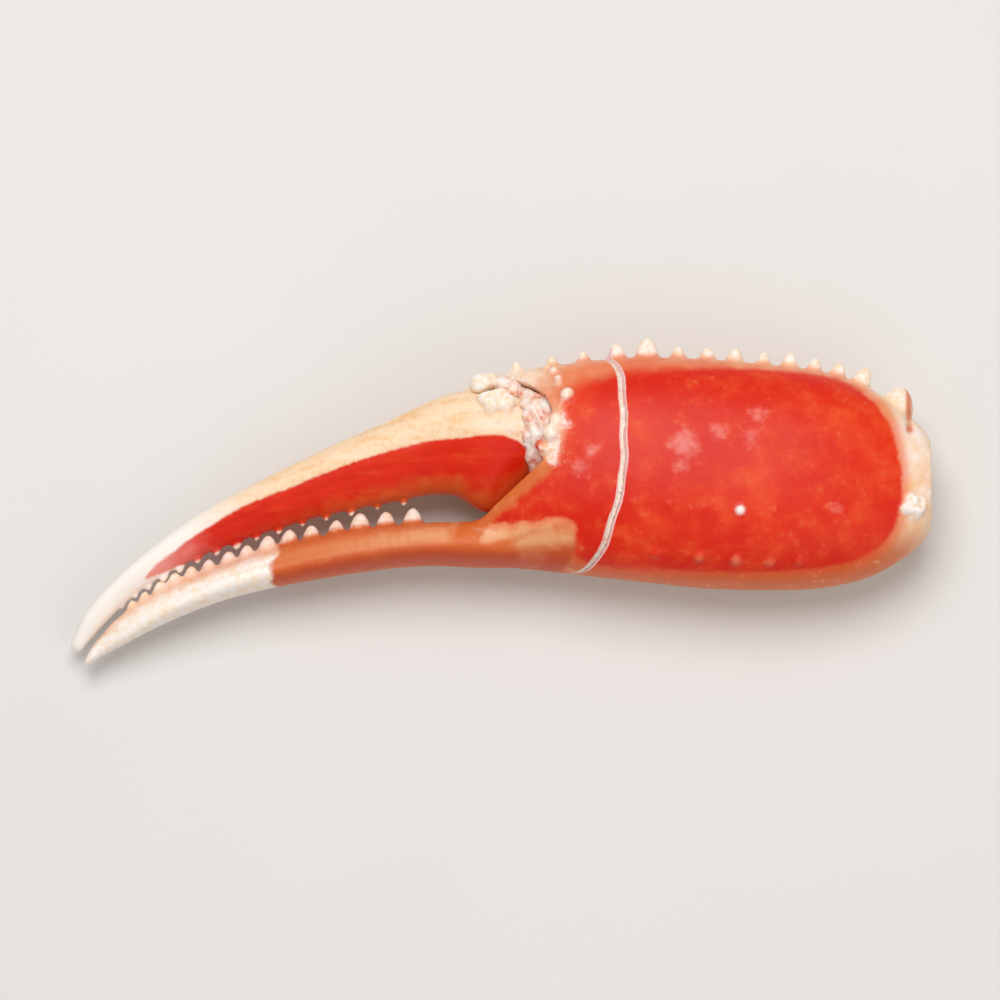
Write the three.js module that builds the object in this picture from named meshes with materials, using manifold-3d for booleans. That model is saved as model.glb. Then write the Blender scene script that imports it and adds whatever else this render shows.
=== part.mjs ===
// Cooked snow crab claw, scored for snapping open: the hard shell of the palm with its fixed finger, the
// movable finger, the soft skin in the joint between them, and the meat, which shows in the score and at the
// wrist.
//
// Millimetres. The claw lies on its inner face with its red outer face up. +X runs towards the wrist, so the
// fingers point to -X; +Y runs towards the crest of spines; +Z is up. The origin is the middle of the
// footprint, on the surface that the claw rests on.

import * as THREE from "three";
import { mergeVertices } from "three/addons/utils/BufferGeometryUtils.js";
import Module from "manifold-3d";

const wasm = await Module();
wasm.setup();

// ---- Driving dimensions ----------------------------------------------------------------------------------

const SHELL = 1.0; // thickness of the shell
const GAP = 0.3; // room between touching pieces
const FLOOR = 0; // height of the surface that the claw rests on
const MID_HEIGHT = 7.6; // the palm's middle plane above the floor
const OUTER_SHARE = 1.06; // the palm bulges more on its outer face
const INNER_SHARE = 0.97; // than on the face that it lies on

// The palm's side view and thickness, as smooth lines through these points: distance along X, then height.
const PALM_TOP = line([-7, 11], [-4, 12.9], [0, 14.5], [6, 15.6], [15, 16.5], [28, 16], [38, 14.7],
  [43, 12.8], [46.6, 10.2], [48.6, 8.4], [49.5, 6.9]);
const PALM_BOTTOM = line([-7, -7.1], [-4, -7.3], [4, -8], [15, -9.2], [26, -10.2], [36, -10.1], [42.5, -8.7],
  [46.4, -6.6], [48.6, -4.8], [49.5, -3.5]);
const PALM_THICKNESS = line([-7, 4], [-4, 6.6], [0, 9.8], [7, 13.8], [13, 15.6], [20, 16.2], [28, 16.1],
  [36, 15.2], [42, 13.4], [46, 11.4], [48.5, 9.8], [49.5, 8.8]);
const PALM_BOXINESS = 2.5; // 2 is an ellipse, more is squarer

const WRIST_X = 49.5; // end of the collar that sat in the next joint
const MEAT_FRONT_X = 12; // where the meat starts, behind the joint skin
const MEAT_RECESS = 0.5; // how far the meat lies inside the collar

// The mouth that the movable finger works in, on the palm's front edge: first the rim round the finger's
// root, then the edge of the lobe in front of it, which runs out along the fixed finger.
const MOUTH_RIM = [[-0.9, 14.2], [2.4, 13.3], [5.2, 11.2], [6.4, 7.6], [5.6, 4.1]];
const MOUTH_LOBE = [[-1, -1.8], [-2.6, -2.8], [-5, -3.2], [-8, -3.4]];
const MOUTH_MIDDLE = [-4, 6]; // the skin's outline is the mouth's, made smaller about here
const SKIN_SHARE = 0.955;
const HOLLOW_X = 5.2; // front end and lower edge of the palm's hollow
const HOLLOW_LOW = 5.2;
const HOLLOW_BLEND = 11; // length over which it widens to the full inside of the palm

// The saw cut across the outer face: a slanted plane, open down to a bridge of whole shell.
const SCORE_WIDTH = 0.8;
const SCORE_AT = new THREE.Vector3(14.1, 4, 15.9);
const SCORE_LEAN = new THREE.Vector3(1, -0.08, -0.5); // the plane's normal
const SCORE_BRIDGE = 3.2; // height of the shell left whole above the floor

// Fingers: each row is a station from root to tip, with the upper edge, the lower edge and the thickness.
const MOVABLE_FINGER = fingerLines([
  { upper: [4.2, 9.6], lower: [4.6, 5.6], thickness: 5.4 },
  { upper: [2.6, 11.8], lower: [3.6, 3], thickness: 8.6 },
  { upper: [-1.6, 12.9], lower: [-1.2, -1.2], thickness: 9.8 },
  { upper: [-6.2, 12.3], lower: [-5.4, 0.8], thickness: 9.2 },
  { upper: [-14, 8.9], lower: [-13, -0.1], thickness: 7.8 },
  { upper: [-26, 3.3], lower: [-24.6, -2.7], thickness: 6.4 },
  { upper: [-36.6, -2.6], lower: [-35, -6.4], thickness: 5 },
  { upper: [-43.8, -8.4], lower: [-41.6, -10.3], thickness: 3.8 },
  { upper: [-47.6, -12.6], lower: [-45.6, -14], thickness: 2.9 },
  { upper: [-49.5, -16.6], lower: [-48.5, -17.2], thickness: 1.5 },
]);
const FIXED_FINGER = fingerLines([
  { upper: [12, -3], lower: [12, -7.4], thickness: 5.6 },
  { upper: [-1, -2.4], lower: [-1, -7.6], thickness: 8.8 },
  { upper: [-9, -2.6], lower: [-9, -7.4], thickness: 8.4 },
  { upper: [-19, -3.7], lower: [-19.6, -8.6], thickness: 7.2 },
  { upper: [-30, -6.7], lower: [-31.4, -11.1], thickness: 5.8 },
  { upper: [-38.4, -10], lower: [-38.8, -14], thickness: 4.6 },
  { upper: [-44.2, -13.4], lower: [-43.9, -16.6], thickness: 3 },
  { upper: [-47.4, -17.3], lower: [-48, -18.6], thickness: 1.5 },
]);
const FINGER_BOXINESS = 2.2;
const EDGE_PINCH = 0.28; // how much a finger narrows towards its row of teeth
const TIP_DROP = 4.4; // the tips curve this far towards the floor

// Spines, beads and knobs. A tall spine stands over the wrist, behind the crest's row.
const CREST = { first: 2.1, last: 41.6, count: 13, crowding: 0.2, radius: 1.05, height: 1.2, more: 0.45 };
const WRIST_SPINE = { base: [45.5, 11.1, 8.6], direction: [0.4, 1, 0.1], radius: 1.7, height: 2.5 };
const RIM_BEADS = { count: 6, firstDegrees: 16, stepDegrees: 11, endX: 3.9, bulgeX: 3.6, size: 0.75 };
const LOWER_BEADS = { from: 7, to: 42, count: 11, degrees: 146, radius: 0.8, height: 0.75, seed: 100 };
const FACE_BEADS = { from: 17, to: 41, count: 7, degrees: 112, radius: 0.6, height: 0.5, seed: 200 };
const PIVOT_KNOB = { centre: [7.4, 4.9, 13.2], halves: [2, 1.7, 1.5] };
const SHOULDER_KNOB = { centre: [-0.2, 10, 10.6], halves: [2.7, 2.3, 2.1] };
const WRIST_KNOBS = [
  { centre: [47, -1.4, 12.7], halves: [1.8, 1.7, 1.5] },
  { centre: [46.6, 1.2, 3.4], halves: [1.8, 1.7, 1.1] },
];
const SKIN_BULGE = { centre: [5.6, 8.6, 7.8], halves: [5, 6, 5.2] };
const MOVABLE_TEETH = { side: -1, from: 0.39, to: 0.755, count: 15, phase: 0.6, size: 0.8 };
const FIXED_TEETH = { side: 1, from: 0.3, to: 0.81, count: 15, phase: 0.1, size: 1.1 };
const TOOTH = {
  first: 1.3, less: 0.95, scatter: 0.25, radius: 0.85, height: 1.55, sunk: 0.3, crowding: 0.9,
};

// Colours of the cooked claw.
const SHELL_RED = 0xd8321b;
const FINGER_RED = 0xdb3a20;
const SKIN_PINK = 0xe9c3b4;
const MEAT_WHITE = 0xf0dccb;

// ---- Lines, sections and lofts ---------------------------------------------------------------------------

/** A smooth line through points of the XY plane. */
function line(...points) {
  const places = points.map(([x, y]) => new THREE.Vector3(x, y, 0));
  return new THREE.CatmullRomCurve3(places, false, "centripetal");
}

/** The smooth edges of a finger through its stations, and its thickness as a line over their numbers. */
function fingerLines(stations) {
  return {
    upper: line(...stations.map((s) => s.upper)),
    lower: line(...stations.map((s) => s.lower)),
    thickness: line(...stations.map((s, i) => [i, s.thickness])),
  };
}

/** The height of a line, whose points run towards +X, at x. */
function heightAt(curve, x) {
  let low = 0;
  let high = 1;
  for (let step = 0; step < 30; step++) {
    const middle = (low + high) / 2;
    if (curve.getPoint(middle).x < x) low = middle;
    else high = middle;
  }
  return curve.getPoint(high).y;
}

/** The signed power that squares a circle: 2 leaves it round. */
function squared(value, boxiness) {
  return Math.sign(value) * Math.abs(value) ** (2 / boxiness);
}

/**
 * The ring of points round a section. centre is its middle, up its half height as a vector, and outer and
 * inner its half thicknesses above and below. pinch narrows it towards the end that up points to.
 */
function ring({ centre, up, outer, inner, boxiness, pinch = 0 }, sides) {
  const points = [];
  for (let k = 0; k < sides; k++) {
    const angle = (2 * Math.PI * k) / sides;
    const along = squared(Math.cos(angle), boxiness);
    const across = squared(Math.sin(angle), boxiness) * (1 - pinch * along);
    const point = centre.clone().addScaledVector(up, along);
    point.z += across * (across > 0 ? outer : inner);
    points.push(point);
  }
  return points;
}

/** A closed body through rings of points that follow each other towards -X, with a flat cap at each end. */
function loft(rings) {
  const sides = rings[0].length;
  const positions = [];
  const index = [];
  for (const points of rings) points.forEach((p) => positions.push(p.x, p.y, p.z));
  for (let r = 0; r + 1 < rings.length; r++) {
    for (let k = 0; k < sides; k++) {
      const next = (k + 1) % sides;
      const [a, b, c, d] = [r * sides + k, r * sides + next, (r + 1) * sides + k, (r + 1) * sides + next];
      index.push(a, c, b, b, c, d);
    }
  }
  for (const [r, first, second] of [[0, 0, 1], [rings.length - 1, 1, 0]]) {
    const hub = positions.length / 3;
    const middle = rings[r].reduce((sum, p) => sum.add(p), new THREE.Vector3()).divideScalar(sides);
    positions.push(middle.x, middle.y, middle.z);
    for (let k = 0; k < sides; k++) {
      const pair = [r * sides + k, r * sides + ((k + 1) % sides)];
      index.push(hub, pair[first], pair[second]);
    }
  }
  const geometry = new THREE.BufferGeometry();
  geometry.setAttribute("position", new THREE.Float32BufferAttribute(positions, 3));
  geometry.setIndex(index);
  return geometry;
}

/** A closed mesh as a solid that can be cut and joined. */
function solid(geometry) {
  const bare = geometry.clone();
  bare.deleteAttribute("normal");
  bare.deleteAttribute("uv");
  const merged = mergeVertices(bare, 1e-4);
  return new wasm.Manifold(
    new wasm.Mesh({
      numProp: 3,
      vertProperties: merged.attributes.position.array,
      triVerts: new Uint32Array(merged.index.array),
    }),
  );
}

/** A solid as a named mesh. */
function mesh(name, shape, material) {
  const { vertProperties, triVerts } = shape.getMesh();
  const geometry = new THREE.BufferGeometry();
  geometry.setAttribute("position", new THREE.BufferAttribute(new Float32Array(vertProperties), 3));
  geometry.setIndex(new THREE.BufferAttribute(new Uint32Array(triVerts), 1));
  geometry.computeVertexNormals();
  const made = new THREE.Mesh(geometry, material);
  made.name = name;
  return made;
}

/** Repeatable scatter from 0 to 1, so that no two spines are quite alike. */
function scatter(seed) {
  const value = Math.sin(seed * 127.1 + 11.7) * 43758.5453;
  return value - Math.floor(value);
}

// ---- Spines, beads and teeth -----------------------------------------------------------------------------

/** A blunt spine on base, pointing along direction. It reaches as far below base as it stands above. */
function spine(base, direction, radius, height, sides = 7) {
  const profile = [[0, -height], [radius, -0.3 * height], [0.74 * radius, 0.4 * height],
    [0.36 * radius, 0.86 * height], [0, height]];
  const shape = new THREE.LatheGeometry(profile.map(([r, h]) => new THREE.Vector2(r, h)), sides);
  const axis = new THREE.Vector3(0, 1, 0);
  const turn = new THREE.Quaternion().setFromUnitVectors(axis, direction.clone().normalize());
  return solid(shape.applyQuaternion(turn).translate(base.x, base.y, base.z));
}

/** A rounded knob with the given half sizes along X, Y and Z. */
function knob({ centre, halves }, sides = 12) {
  const ball = new THREE.SphereGeometry(1, sides, Math.round(0.75 * sides));
  return solid(ball.scale(...halves).translate(...centre));
}

// ---- Palm ------------------------------------------------------------------------------------------------

/** The palm's section at x, made smaller all round by inset. */
function palmSection(x, inset = 0) {
  const top = heightAt(PALM_TOP, x) - inset;
  const bottom = heightAt(PALM_BOTTOM, x) + inset;
  const half = heightAt(PALM_THICKNESS, x) / 2;
  return {
    centre: new THREE.Vector3(x, (top + bottom) / 2, MID_HEIGHT),
    up: new THREE.Vector3(0, (top - bottom) / 2, 0),
    outer: half * OUTER_SHARE - inset,
    inner: half * INNER_SHARE - inset,
    boxiness: PALM_BOXINESS,
  };
}

/** The point on the palm's skin at x and an angle round it: 0 is the crest, 90 the outer face's middle. */
function palmPoint(x, degrees) {
  const section = palmSection(x);
  const angle = THREE.MathUtils.degToRad(degrees);
  const point = section.centre.clone().addScaledVector(section.up, squared(Math.cos(angle), PALM_BOXINESS));
  const across = squared(Math.sin(angle), PALM_BOXINESS);
  point.z += across * (across > 0 ? section.outer : section.inner);
  return point;
}

/** The direction that faces straight out of the palm's skin there. */
function palmNormal(x, degrees) {
  const along = palmPoint(x + 0.4, degrees).sub(palmPoint(x - 0.4, degrees));
  const round = palmPoint(x, degrees + 3).sub(palmPoint(x, degrees - 3));
  return round.cross(along).normalize();
}

/** Distances along the palm from its wrist end to its front, closer together where its outline is steep. */
function palmStations(wristEnd, front, count) {
  const spaced = PALM_TOP.getSpacedPoints(count).map((p) => p.x);
  const between = spaced.filter((x) => x > front + 0.3 && x < wristEnd - 0.3);
  return [front, ...between, wristEnd].reverse();
}

/** The palm's outside, from inside the finger joint to the collar at the wrist. */
function palmBody() {
  return solid(loft(palmStations(WRIST_X, -7, 40).map((x) => ring(palmSection(x), 32))));
}

/** The palm's front edge, seen from the side: everything in front of it is open for the movable finger. */
function mouthCut() {
  const far = -14;
  const outline = new THREE.Shape();
  outline.moveTo(far, 24);
  outline.lineTo(-1.6, 15.4);
  outline.lineTo(...MOUTH_RIM[0]);
  outline.splineThru(MOUTH_RIM.slice(1).map((p) => new THREE.Vector2(...p)));
  outline.lineTo(...MOUTH_LOBE[0]);
  outline.splineThru(MOUTH_LOBE.slice(1).map((p) => new THREE.Vector2(...p)));
  outline.lineTo(far, MOUTH_LOBE.at(-1)[1]);
  outline.closePath();
  return solid(new THREE.ExtrudeGeometry(outline, { depth: 30, bevelEnabled: false, curveSegments: 10 })
    .translate(0, 0, -5));
}

/** The inside of the palm: it narrows to the mouth in front and runs out through the collar behind. */
function palmInside(inset, wristEnd, front) {
  return solid(loft(palmStations(wristEnd, front, 18).map((x) => {
    const section = palmSection(Math.min(x, WRIST_X), inset);
    section.centre.x = x;
    const top = section.centre.y + section.up.y;
    const bottom = section.centre.y - section.up.y;
    const share = THREE.MathUtils.smoothstep(x, HOLLOW_X, HOLLOW_X + HOLLOW_BLEND);
    const floor = THREE.MathUtils.lerp(HOLLOW_LOW + inset - SHELL, bottom, share);
    section.centre.y = (top + floor) / 2;
    section.up.y = (top - floor) / 2;
    return ring(section, 20);
  })));
}

/** The slab of air that the saw leaves, down to the bridge of whole shell. */
function scoreCut() {
  const slab = new THREE.BoxGeometry(SCORE_WIDTH, 60, 60);
  const across = new THREE.Vector3(1, 0, 0);
  const turn = new THREE.Quaternion().setFromUnitVectors(across, SCORE_LEAN.clone().normalize());
  const cut = solid(slab.applyQuaternion(turn).translate(SCORE_AT.x, SCORE_AT.y, SCORE_AT.z));
  const above = solid(new THREE.BoxGeometry(80, 80, 40).translate(0, 0, SCORE_BRIDGE + 20));
  return cut.intersect(above);
}

/** The crest of spines along the upper edge, which ends in a taller one over the wrist. */
function crest() {
  const { base, direction, radius, height } = WRIST_SPINE;
  const spines = [spine(new THREE.Vector3(...base), new THREE.Vector3(...direction), radius, height)];
  for (let i = 0; i < CREST.count; i++) {
    const share = i / (CREST.count - 1);
    const spaced = share + CREST.crowding * share * (1 - share);
    const x = THREE.MathUtils.lerp(CREST.first, CREST.last, spaced);
    const lean = 8 + 6 * scatter(i + 40);
    const tall = CREST.height + CREST.more * scatter(i + 80);
    spines.push(spine(palmPoint(x, lean), palmNormal(x, lean), CREST.radius, tall));
  }
  return spines;
}

/** A row of low beads along the outer face, at an angle round the palm. */
function beadRow({ from, to, count, degrees, radius, height, seed }) {
  const beads = [];
  for (let i = 0; i < count; i++) {
    const x = THREE.MathUtils.lerp(from, to, (i + 0.5 * scatter(seed + i)) / (count - 0.5));
    const turn = degrees + 3 * (scatter(seed + 20 + i) - 0.5);
    const tall = height * (0.8 + 0.4 * scatter(seed + i));
    beads.push(spine(palmPoint(x, turn), palmNormal(x, turn), radius, tall, 6));
  }
  return beads;
}

/** The beads on the rim round the finger joint, with the knob that the movable finger turns on. */
function jointRim() {
  const beads = [knob(PIVOT_KNOB)];
  for (let i = 0; i < RIM_BEADS.count; i++) {
    const degrees = RIM_BEADS.firstDegrees + RIM_BEADS.stepDegrees * i;
    const bulge = Math.sin((Math.PI * (i + 1)) / (RIM_BEADS.count + 1));
    const x = RIM_BEADS.endX + RIM_BEADS.bulgeX * bulge + 0.4 * scatter(i + 7);
    beads.push(spine(palmPoint(x, degrees), palmNormal(x, degrees), RIM_BEADS.size, RIM_BEADS.size, 6));
  }
  return beads;
}

// ---- Fingers ---------------------------------------------------------------------------------------------

/** A finger's section at share, 0 at its root and 1 at its tip. pinchUp says on which edge its teeth are. */
function fingerSection(finger, share, inset = 0, pinchUp = 1) {
  const upper = finger.upper.getPoint(share);
  const lower = finger.lower.getPoint(share);
  const up = upper.clone().sub(lower).multiplyScalar(0.5);
  up.setLength(up.length() - inset);
  const centre = upper.clone().add(lower).multiplyScalar(0.5);
  centre.z = MID_HEIGHT - TIP_DROP * share ** 1.7;
  const half = finger.thickness.getPoint(share).y / 2 - inset;
  return { centre, up, outer: half, inner: half, boxiness: FINGER_BOXINESS, pinch: EDGE_PINCH * pinchUp };
}

/** A finger without its teeth. */
function fingerBody(finger, steps, inset, pinchUp) {
  const rings = [];
  for (let i = 0; i <= steps; i++) rings.push(ring(fingerSection(finger, i / steps, inset, pinchUp), 16));
  return solid(loft(rings));
}

/**
 * The teeth along a finger's working edge. side is 1 where they stand up from the upper edge and -1 where
 * they hang from the lower one. phase shifts one row against the other, so that they mesh, and size makes
 * one row larger than the other.
 */
function teeth(finger, { side, from, to, count, phase, size: largest }) {
  const row = [];
  for (let i = 0; i < count; i++) {
    const share = THREE.MathUtils.lerp(from, to, ((i + phase) / count) ** TOOTH.crowding);
    const section = fingerSection(finger, share);
    const direction = section.up.clone().multiplyScalar(side).normalize();
    const edge = section.centre.clone().addScaledVector(section.up, side);
    const base = edge.addScaledVector(direction, -TOOTH.sunk);
    const even = TOOTH.first - TOOTH.less * (i / count) + TOOTH.scatter * (scatter(i + 50 * phase) - 0.5);
    const size = largest * even;
    row.push(spine(base, direction, TOOTH.radius * size, TOOTH.height * size, 6));
  }
  return row;
}

// ---- Pieces ----------------------------------------------------------------------------------------------

const joined = (shapes) => shapes.reduce((sum, shape) => sum.add(shape));
const aboveFloor = solid(new THREE.BoxGeometry(200, 200, 60).translate(0, 0, FLOOR + 30));

function clawShell() {
  const palm = joined([palmBody(), ...crest(), ...jointRim(), ...WRIST_KNOBS.map((k) => knob(k)),
    ...beadRow(LOWER_BEADS), ...beadRow(FACE_BEADS)]);
  const finger = joined([fingerBody(FIXED_FINGER, 28, 0, 1), ...teeth(FIXED_FINGER, FIXED_TEETH)]);
  return palm
    .subtract(mouthCut())
    .add(finger)
    .subtract(palmInside(SHELL, WRIST_X + 2, HOLLOW_X))
    .subtract(scoreCut())
    .intersect(aboveFloor);
}

function movableFinger() {
  const finger = fingerBody(MOVABLE_FINGER, 32, 0, -1);
  return joined([finger, knob(SHOULDER_KNOB), ...teeth(MOVABLE_FINGER, MOVABLE_TEETH)]);
}

/** The soft skin in the joint: it fills the front of the hollow and bulges up to the finger's root. */
function jointSkin() {
  const [x, y] = MOUTH_MIDDLE;
  const mouth = mouthCut().translate([-x, -y, 0]).scale([SKIN_SHARE, SKIN_SHARE, 1]).translate([x, y, 0]);
  const hollow = palmInside(SHELL + GAP, MEAT_FRONT_X - GAP, HOLLOW_X);
  const grownFinger = fingerBody(MOVABLE_FINGER, 32, -GAP - 0.1, -1);
  return knob(SKIN_BULGE, 20).intersect(mouth.add(hollow)).subtract(grownFinger);
}

/** The meat runs through the whole palm, from behind the joint skin to just inside the collar. */
function clawMeat() {
  return palmInside(SHELL + GAP, WRIST_X - MEAT_RECESS, MEAT_FRONT_X);
}

const wax = (color, roughness) => new THREE.MeshStandardMaterial({ color, roughness, metalness: 0 });

const claw = new THREE.Group();
claw.name = "snow_crab_claw";
claw.add(
  mesh("claw_shell", clawShell(), wax(SHELL_RED, 0.38)),
  mesh("movable_finger", movableFinger(), wax(FINGER_RED, 0.34)),
  mesh("joint_skin", jointSkin(), wax(SKIN_PINK, 0.45)),
  mesh("claw_meat", clawMeat(), wax(MEAT_WHITE, 0.5)),
);

// The footprint's middle becomes the origin.
const middle = new THREE.Box3().setFromObject(claw).getCenter(new THREE.Vector3());
claw.position.set(-middle.x, -middle.y, 0);

export default claw;
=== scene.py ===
# %% [markdown]
# # A cooked snow crab claw, scored for snapping open
#
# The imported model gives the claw's solids at their real size. This scene dresses them: the hard
# shell with its spines and teeth, the movable finger, the soft skin in the joint and the meat in
# the score and at the wrist. All building is done in millimetres, in the claw's own coordinates,
# and each finished mesh is moved to the frame, in metres, as its last step. The fingers point to
# -X, the crest of spines is towards +Y, and the claw lies on its inner face, so the red outer face
# is up.

# %% Load the frame
import math

import bmesh
import bpy
import numpy as np
from mathutils import Matrix, Vector, noise


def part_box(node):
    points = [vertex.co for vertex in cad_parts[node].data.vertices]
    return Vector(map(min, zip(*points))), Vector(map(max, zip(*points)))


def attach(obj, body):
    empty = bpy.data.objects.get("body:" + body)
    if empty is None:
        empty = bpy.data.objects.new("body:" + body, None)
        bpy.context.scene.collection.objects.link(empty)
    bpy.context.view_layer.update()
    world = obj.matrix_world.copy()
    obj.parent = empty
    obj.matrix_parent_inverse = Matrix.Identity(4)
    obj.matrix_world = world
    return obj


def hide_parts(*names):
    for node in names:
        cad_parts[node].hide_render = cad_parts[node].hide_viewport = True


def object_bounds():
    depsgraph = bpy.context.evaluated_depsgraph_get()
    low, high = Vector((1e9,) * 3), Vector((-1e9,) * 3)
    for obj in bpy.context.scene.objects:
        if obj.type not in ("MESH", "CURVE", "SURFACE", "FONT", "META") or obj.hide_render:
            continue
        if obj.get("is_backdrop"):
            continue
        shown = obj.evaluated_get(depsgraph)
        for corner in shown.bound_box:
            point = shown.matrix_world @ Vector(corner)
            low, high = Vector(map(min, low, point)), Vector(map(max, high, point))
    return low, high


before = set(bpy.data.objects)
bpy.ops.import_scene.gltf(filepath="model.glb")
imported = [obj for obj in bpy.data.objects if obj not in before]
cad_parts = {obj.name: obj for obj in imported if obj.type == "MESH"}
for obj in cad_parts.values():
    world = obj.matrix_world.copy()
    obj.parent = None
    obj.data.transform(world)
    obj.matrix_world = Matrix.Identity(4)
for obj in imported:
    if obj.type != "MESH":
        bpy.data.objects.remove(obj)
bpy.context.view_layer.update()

# %% [markdown]
# ## Driving sizes
#
# The claw is described the way a carver would set it out: the side view of the palm as two smooth
# lines, its thickness as a third, and each finger as a few stations from root to tip. Everything
# else is worked out from these. They are the same numbers that the solids were made from, so the
# skin fits over them with no fitting.

# %% Sizes of the palm
SHELL = 1.0  # thickness of the shell, mm
GAP = 0.3  # room that the solids keep between touching pieces
MID_HEIGHT = 7.6  # the palm's middle plane above the table
OUTER_SHARE, INNER_SHARE = 1.06, 0.97  # the outer face bulges more than the one it lies on
PALM_BOXINESS, FINGER_BOXINESS = 2.5, 2.2  # 2 is an ellipse, more is squarer
EDGE_PINCH = 0.28  # how much a finger narrows towards its teeth
TIP_DROP = 4.4  # the finger tips curve this far towards the table
PALM_FRONT_X, WRIST_X = -7, 49.5

PALM_TOP = [(-7, 11), (-4, 12.9), (0, 14.5), (6, 15.6), (15, 16.5), (28, 16), (38, 14.7), (43, 12.8),
            (46.6, 10.2), (48.6, 8.4), (49.5, 6.9)]
PALM_BOTTOM = [(-7, -7.1), (-4, -7.3), (4, -8), (15, -9.2), (26, -10.2), (36, -10.1), (42.5, -8.7),
               (46.4, -6.6), (48.6, -4.8), (49.5, -3.5)]
PALM_THICKNESS = [(-7, 4), (-4, 6.6), (0, 9.8), (7, 13.8), (13, 15.6), (20, 16.2), (28, 16.1), (36, 15.2),
                  (42, 13.4), (46, 11.4), (48.5, 9.8), (49.5, 8.8)]

# %% Sizes of the fingers: upper edge, lower edge and thickness at each station from root to tip
MOVABLE_FINGER = [
    ((4.2, 9.6), (4.6, 5.6), 5.4),
    ((2.6, 11.8), (3.6, 3), 8.6),
    ((-1.6, 12.9), (-1.2, -1.2), 9.8),
    ((-6.2, 12.3), (-5.4, 0.8), 9.2),
    ((-14, 8.9), (-13, -0.1), 7.8),
    ((-26, 3.3), (-24.6, -2.7), 6.4),
    ((-36.6, -2.6), (-35, -6.4), 5),
    ((-43.8, -8.4), (-41.6, -10.3), 3.8),
    ((-47.6, -12.6), (-45.6, -14), 2.9),
    ((-49.5, -16.6), (-48.5, -17.2), 1.5),
]
FIXED_FINGER = [
    ((12, -3), (12, -7.4), 5.6),
    ((-1, -2.4), (-1, -7.6), 8.8),
    ((-9, -2.6), (-9, -7.4), 8.4),
    ((-19, -3.7), (-19.6, -8.6), 7.2),
    ((-30, -6.7), (-31.4, -11.1), 5.8),
    ((-38.4, -10), (-38.8, -14), 4.6),
    ((-44.2, -13.4), (-43.9, -16.6), 3),
    ((-47.4, -17.3), (-48, -18.6), 1.5),
]

# %% [markdown]
# ## Smooth lines
#
# A centripetal Catmull-Rom curve passes through its points without loops, even where they are
# unevenly spaced, so a handful of stations is enough for a natural outline.

# %% A smooth line through points
def smooth_line(points, steps=24):
    """A dense line through points of any dimension, with the same number of steps between each pair."""
    points = np.array(points, float)
    ends = [2 * points[0] - points[1], *points, 2 * points[-1] - points[-2]]
    dense = []
    for before, start, end, after in zip(ends, ends[1:], ends[2:], ends[3:]):
        first, middle, last = (np.linalg.norm(b - a) ** 0.5 for a, b in
                               ((before, start), (start, end), (end, after)))
        leave = middle * ((start - before) / first - (end - before) / (first + middle)
                          + (end - start) / middle)
        arrive = middle * ((end - start) / middle - (after - start) / (middle + last)
                           + (after - end) / last)
        for share in np.arange(steps) / steps:
            square, cube = share ** 2, share ** 3
            dense.append((2 * cube - 3 * square + 1) * start + (cube - 2 * square + share) * leave
                         + (3 * square - 2 * cube) * end + (cube - square) * arrive)
    return np.array([*dense, points[-1]])


def height_at(line, x):
    """The height of a dense line, whose points run towards +X, at each x."""
    return np.interp(x, line[:, 0], line[:, 1])


palm_top, palm_bottom, palm_thickness = map(smooth_line, (PALM_TOP, PALM_BOTTOM, PALM_THICKNESS))
print("palm height at its middle, mm:", round(height_at(palm_top, 25) - height_at(palm_bottom, 25), 1))

# %% [markdown]
# ## Sections
#
# A section is a superellipse: a middle, half a height as a vector, and half a thickness above and
# below. Both the palm and the fingers are rows of such sections, so one set of helpers measures
# them all.

# %% Sections of the palm
def squared(value, boxiness):
    """The signed power that squares a circle."""
    return np.sign(value) * np.abs(value) ** (2 / boxiness)


def palm_section(x, inset=0.0):
    """Middle, half height, and outer and inner half thickness of the palm at each x, less an inset."""
    x = np.atleast_1d(np.asarray(x, float))
    top, bottom = height_at(palm_top, x) - inset, height_at(palm_bottom, x) + inset
    half = height_at(palm_thickness, x) / 2
    middle = np.column_stack([x, (top + bottom) / 2, np.full(len(x), MID_HEIGHT)])
    return middle, (top - bottom) / 2, half * OUTER_SHARE - inset, half * INNER_SHARE - inset


def palm_point(x, degrees):
    """The point on the palm at x and an angle round it: 0 is the crest, 90 is mid outer face."""
    middle, half_height, outer, inner = palm_section(x)
    angle = np.radians(degrees)
    across = squared(np.sin(angle), PALM_BOXINESS)
    point = middle.copy()
    point[:, 1] += half_height * squared(np.cos(angle), PALM_BOXINESS)
    point[:, 2] += across * np.where(across > 0, outer, inner)
    return point


def palm_normal(x, degrees):
    """The direction that faces straight out of the palm there."""
    x, degrees = np.asarray(x, float), np.asarray(degrees, float)
    along = palm_point(x + 0.4, degrees) - palm_point(x - 0.4, degrees)
    around = palm_point(x, degrees + 3) - palm_point(x, degrees - 3)
    normal = np.cross(around, along)
    return normal / np.linalg.norm(normal, axis=1, keepdims=True)


print("palm thickness at its middle, mm:", round(sum(palm_section(25)[2:])[0], 1))


def palm_depth(points):
    """How far each point stands outside the bare palm, in mm, and negative inside it."""
    middle, half_height, outer, inner = palm_section(np.clip(points[:, 0], PALM_FRONT_X, WRIST_X))
    rise, out = points[:, 1] - middle[:, 1], points[:, 2] - MID_HEIGHT
    along, across = rise / half_height, out / np.where(out > 0, outer, inner)
    reach = (np.abs(along) ** PALM_BOXINESS + np.abs(across) ** PALM_BOXINESS) ** (1 / PALM_BOXINESS)
    return np.hypot(rise, out) * (1 - 1 / np.maximum(reach, 0.05))

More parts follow.
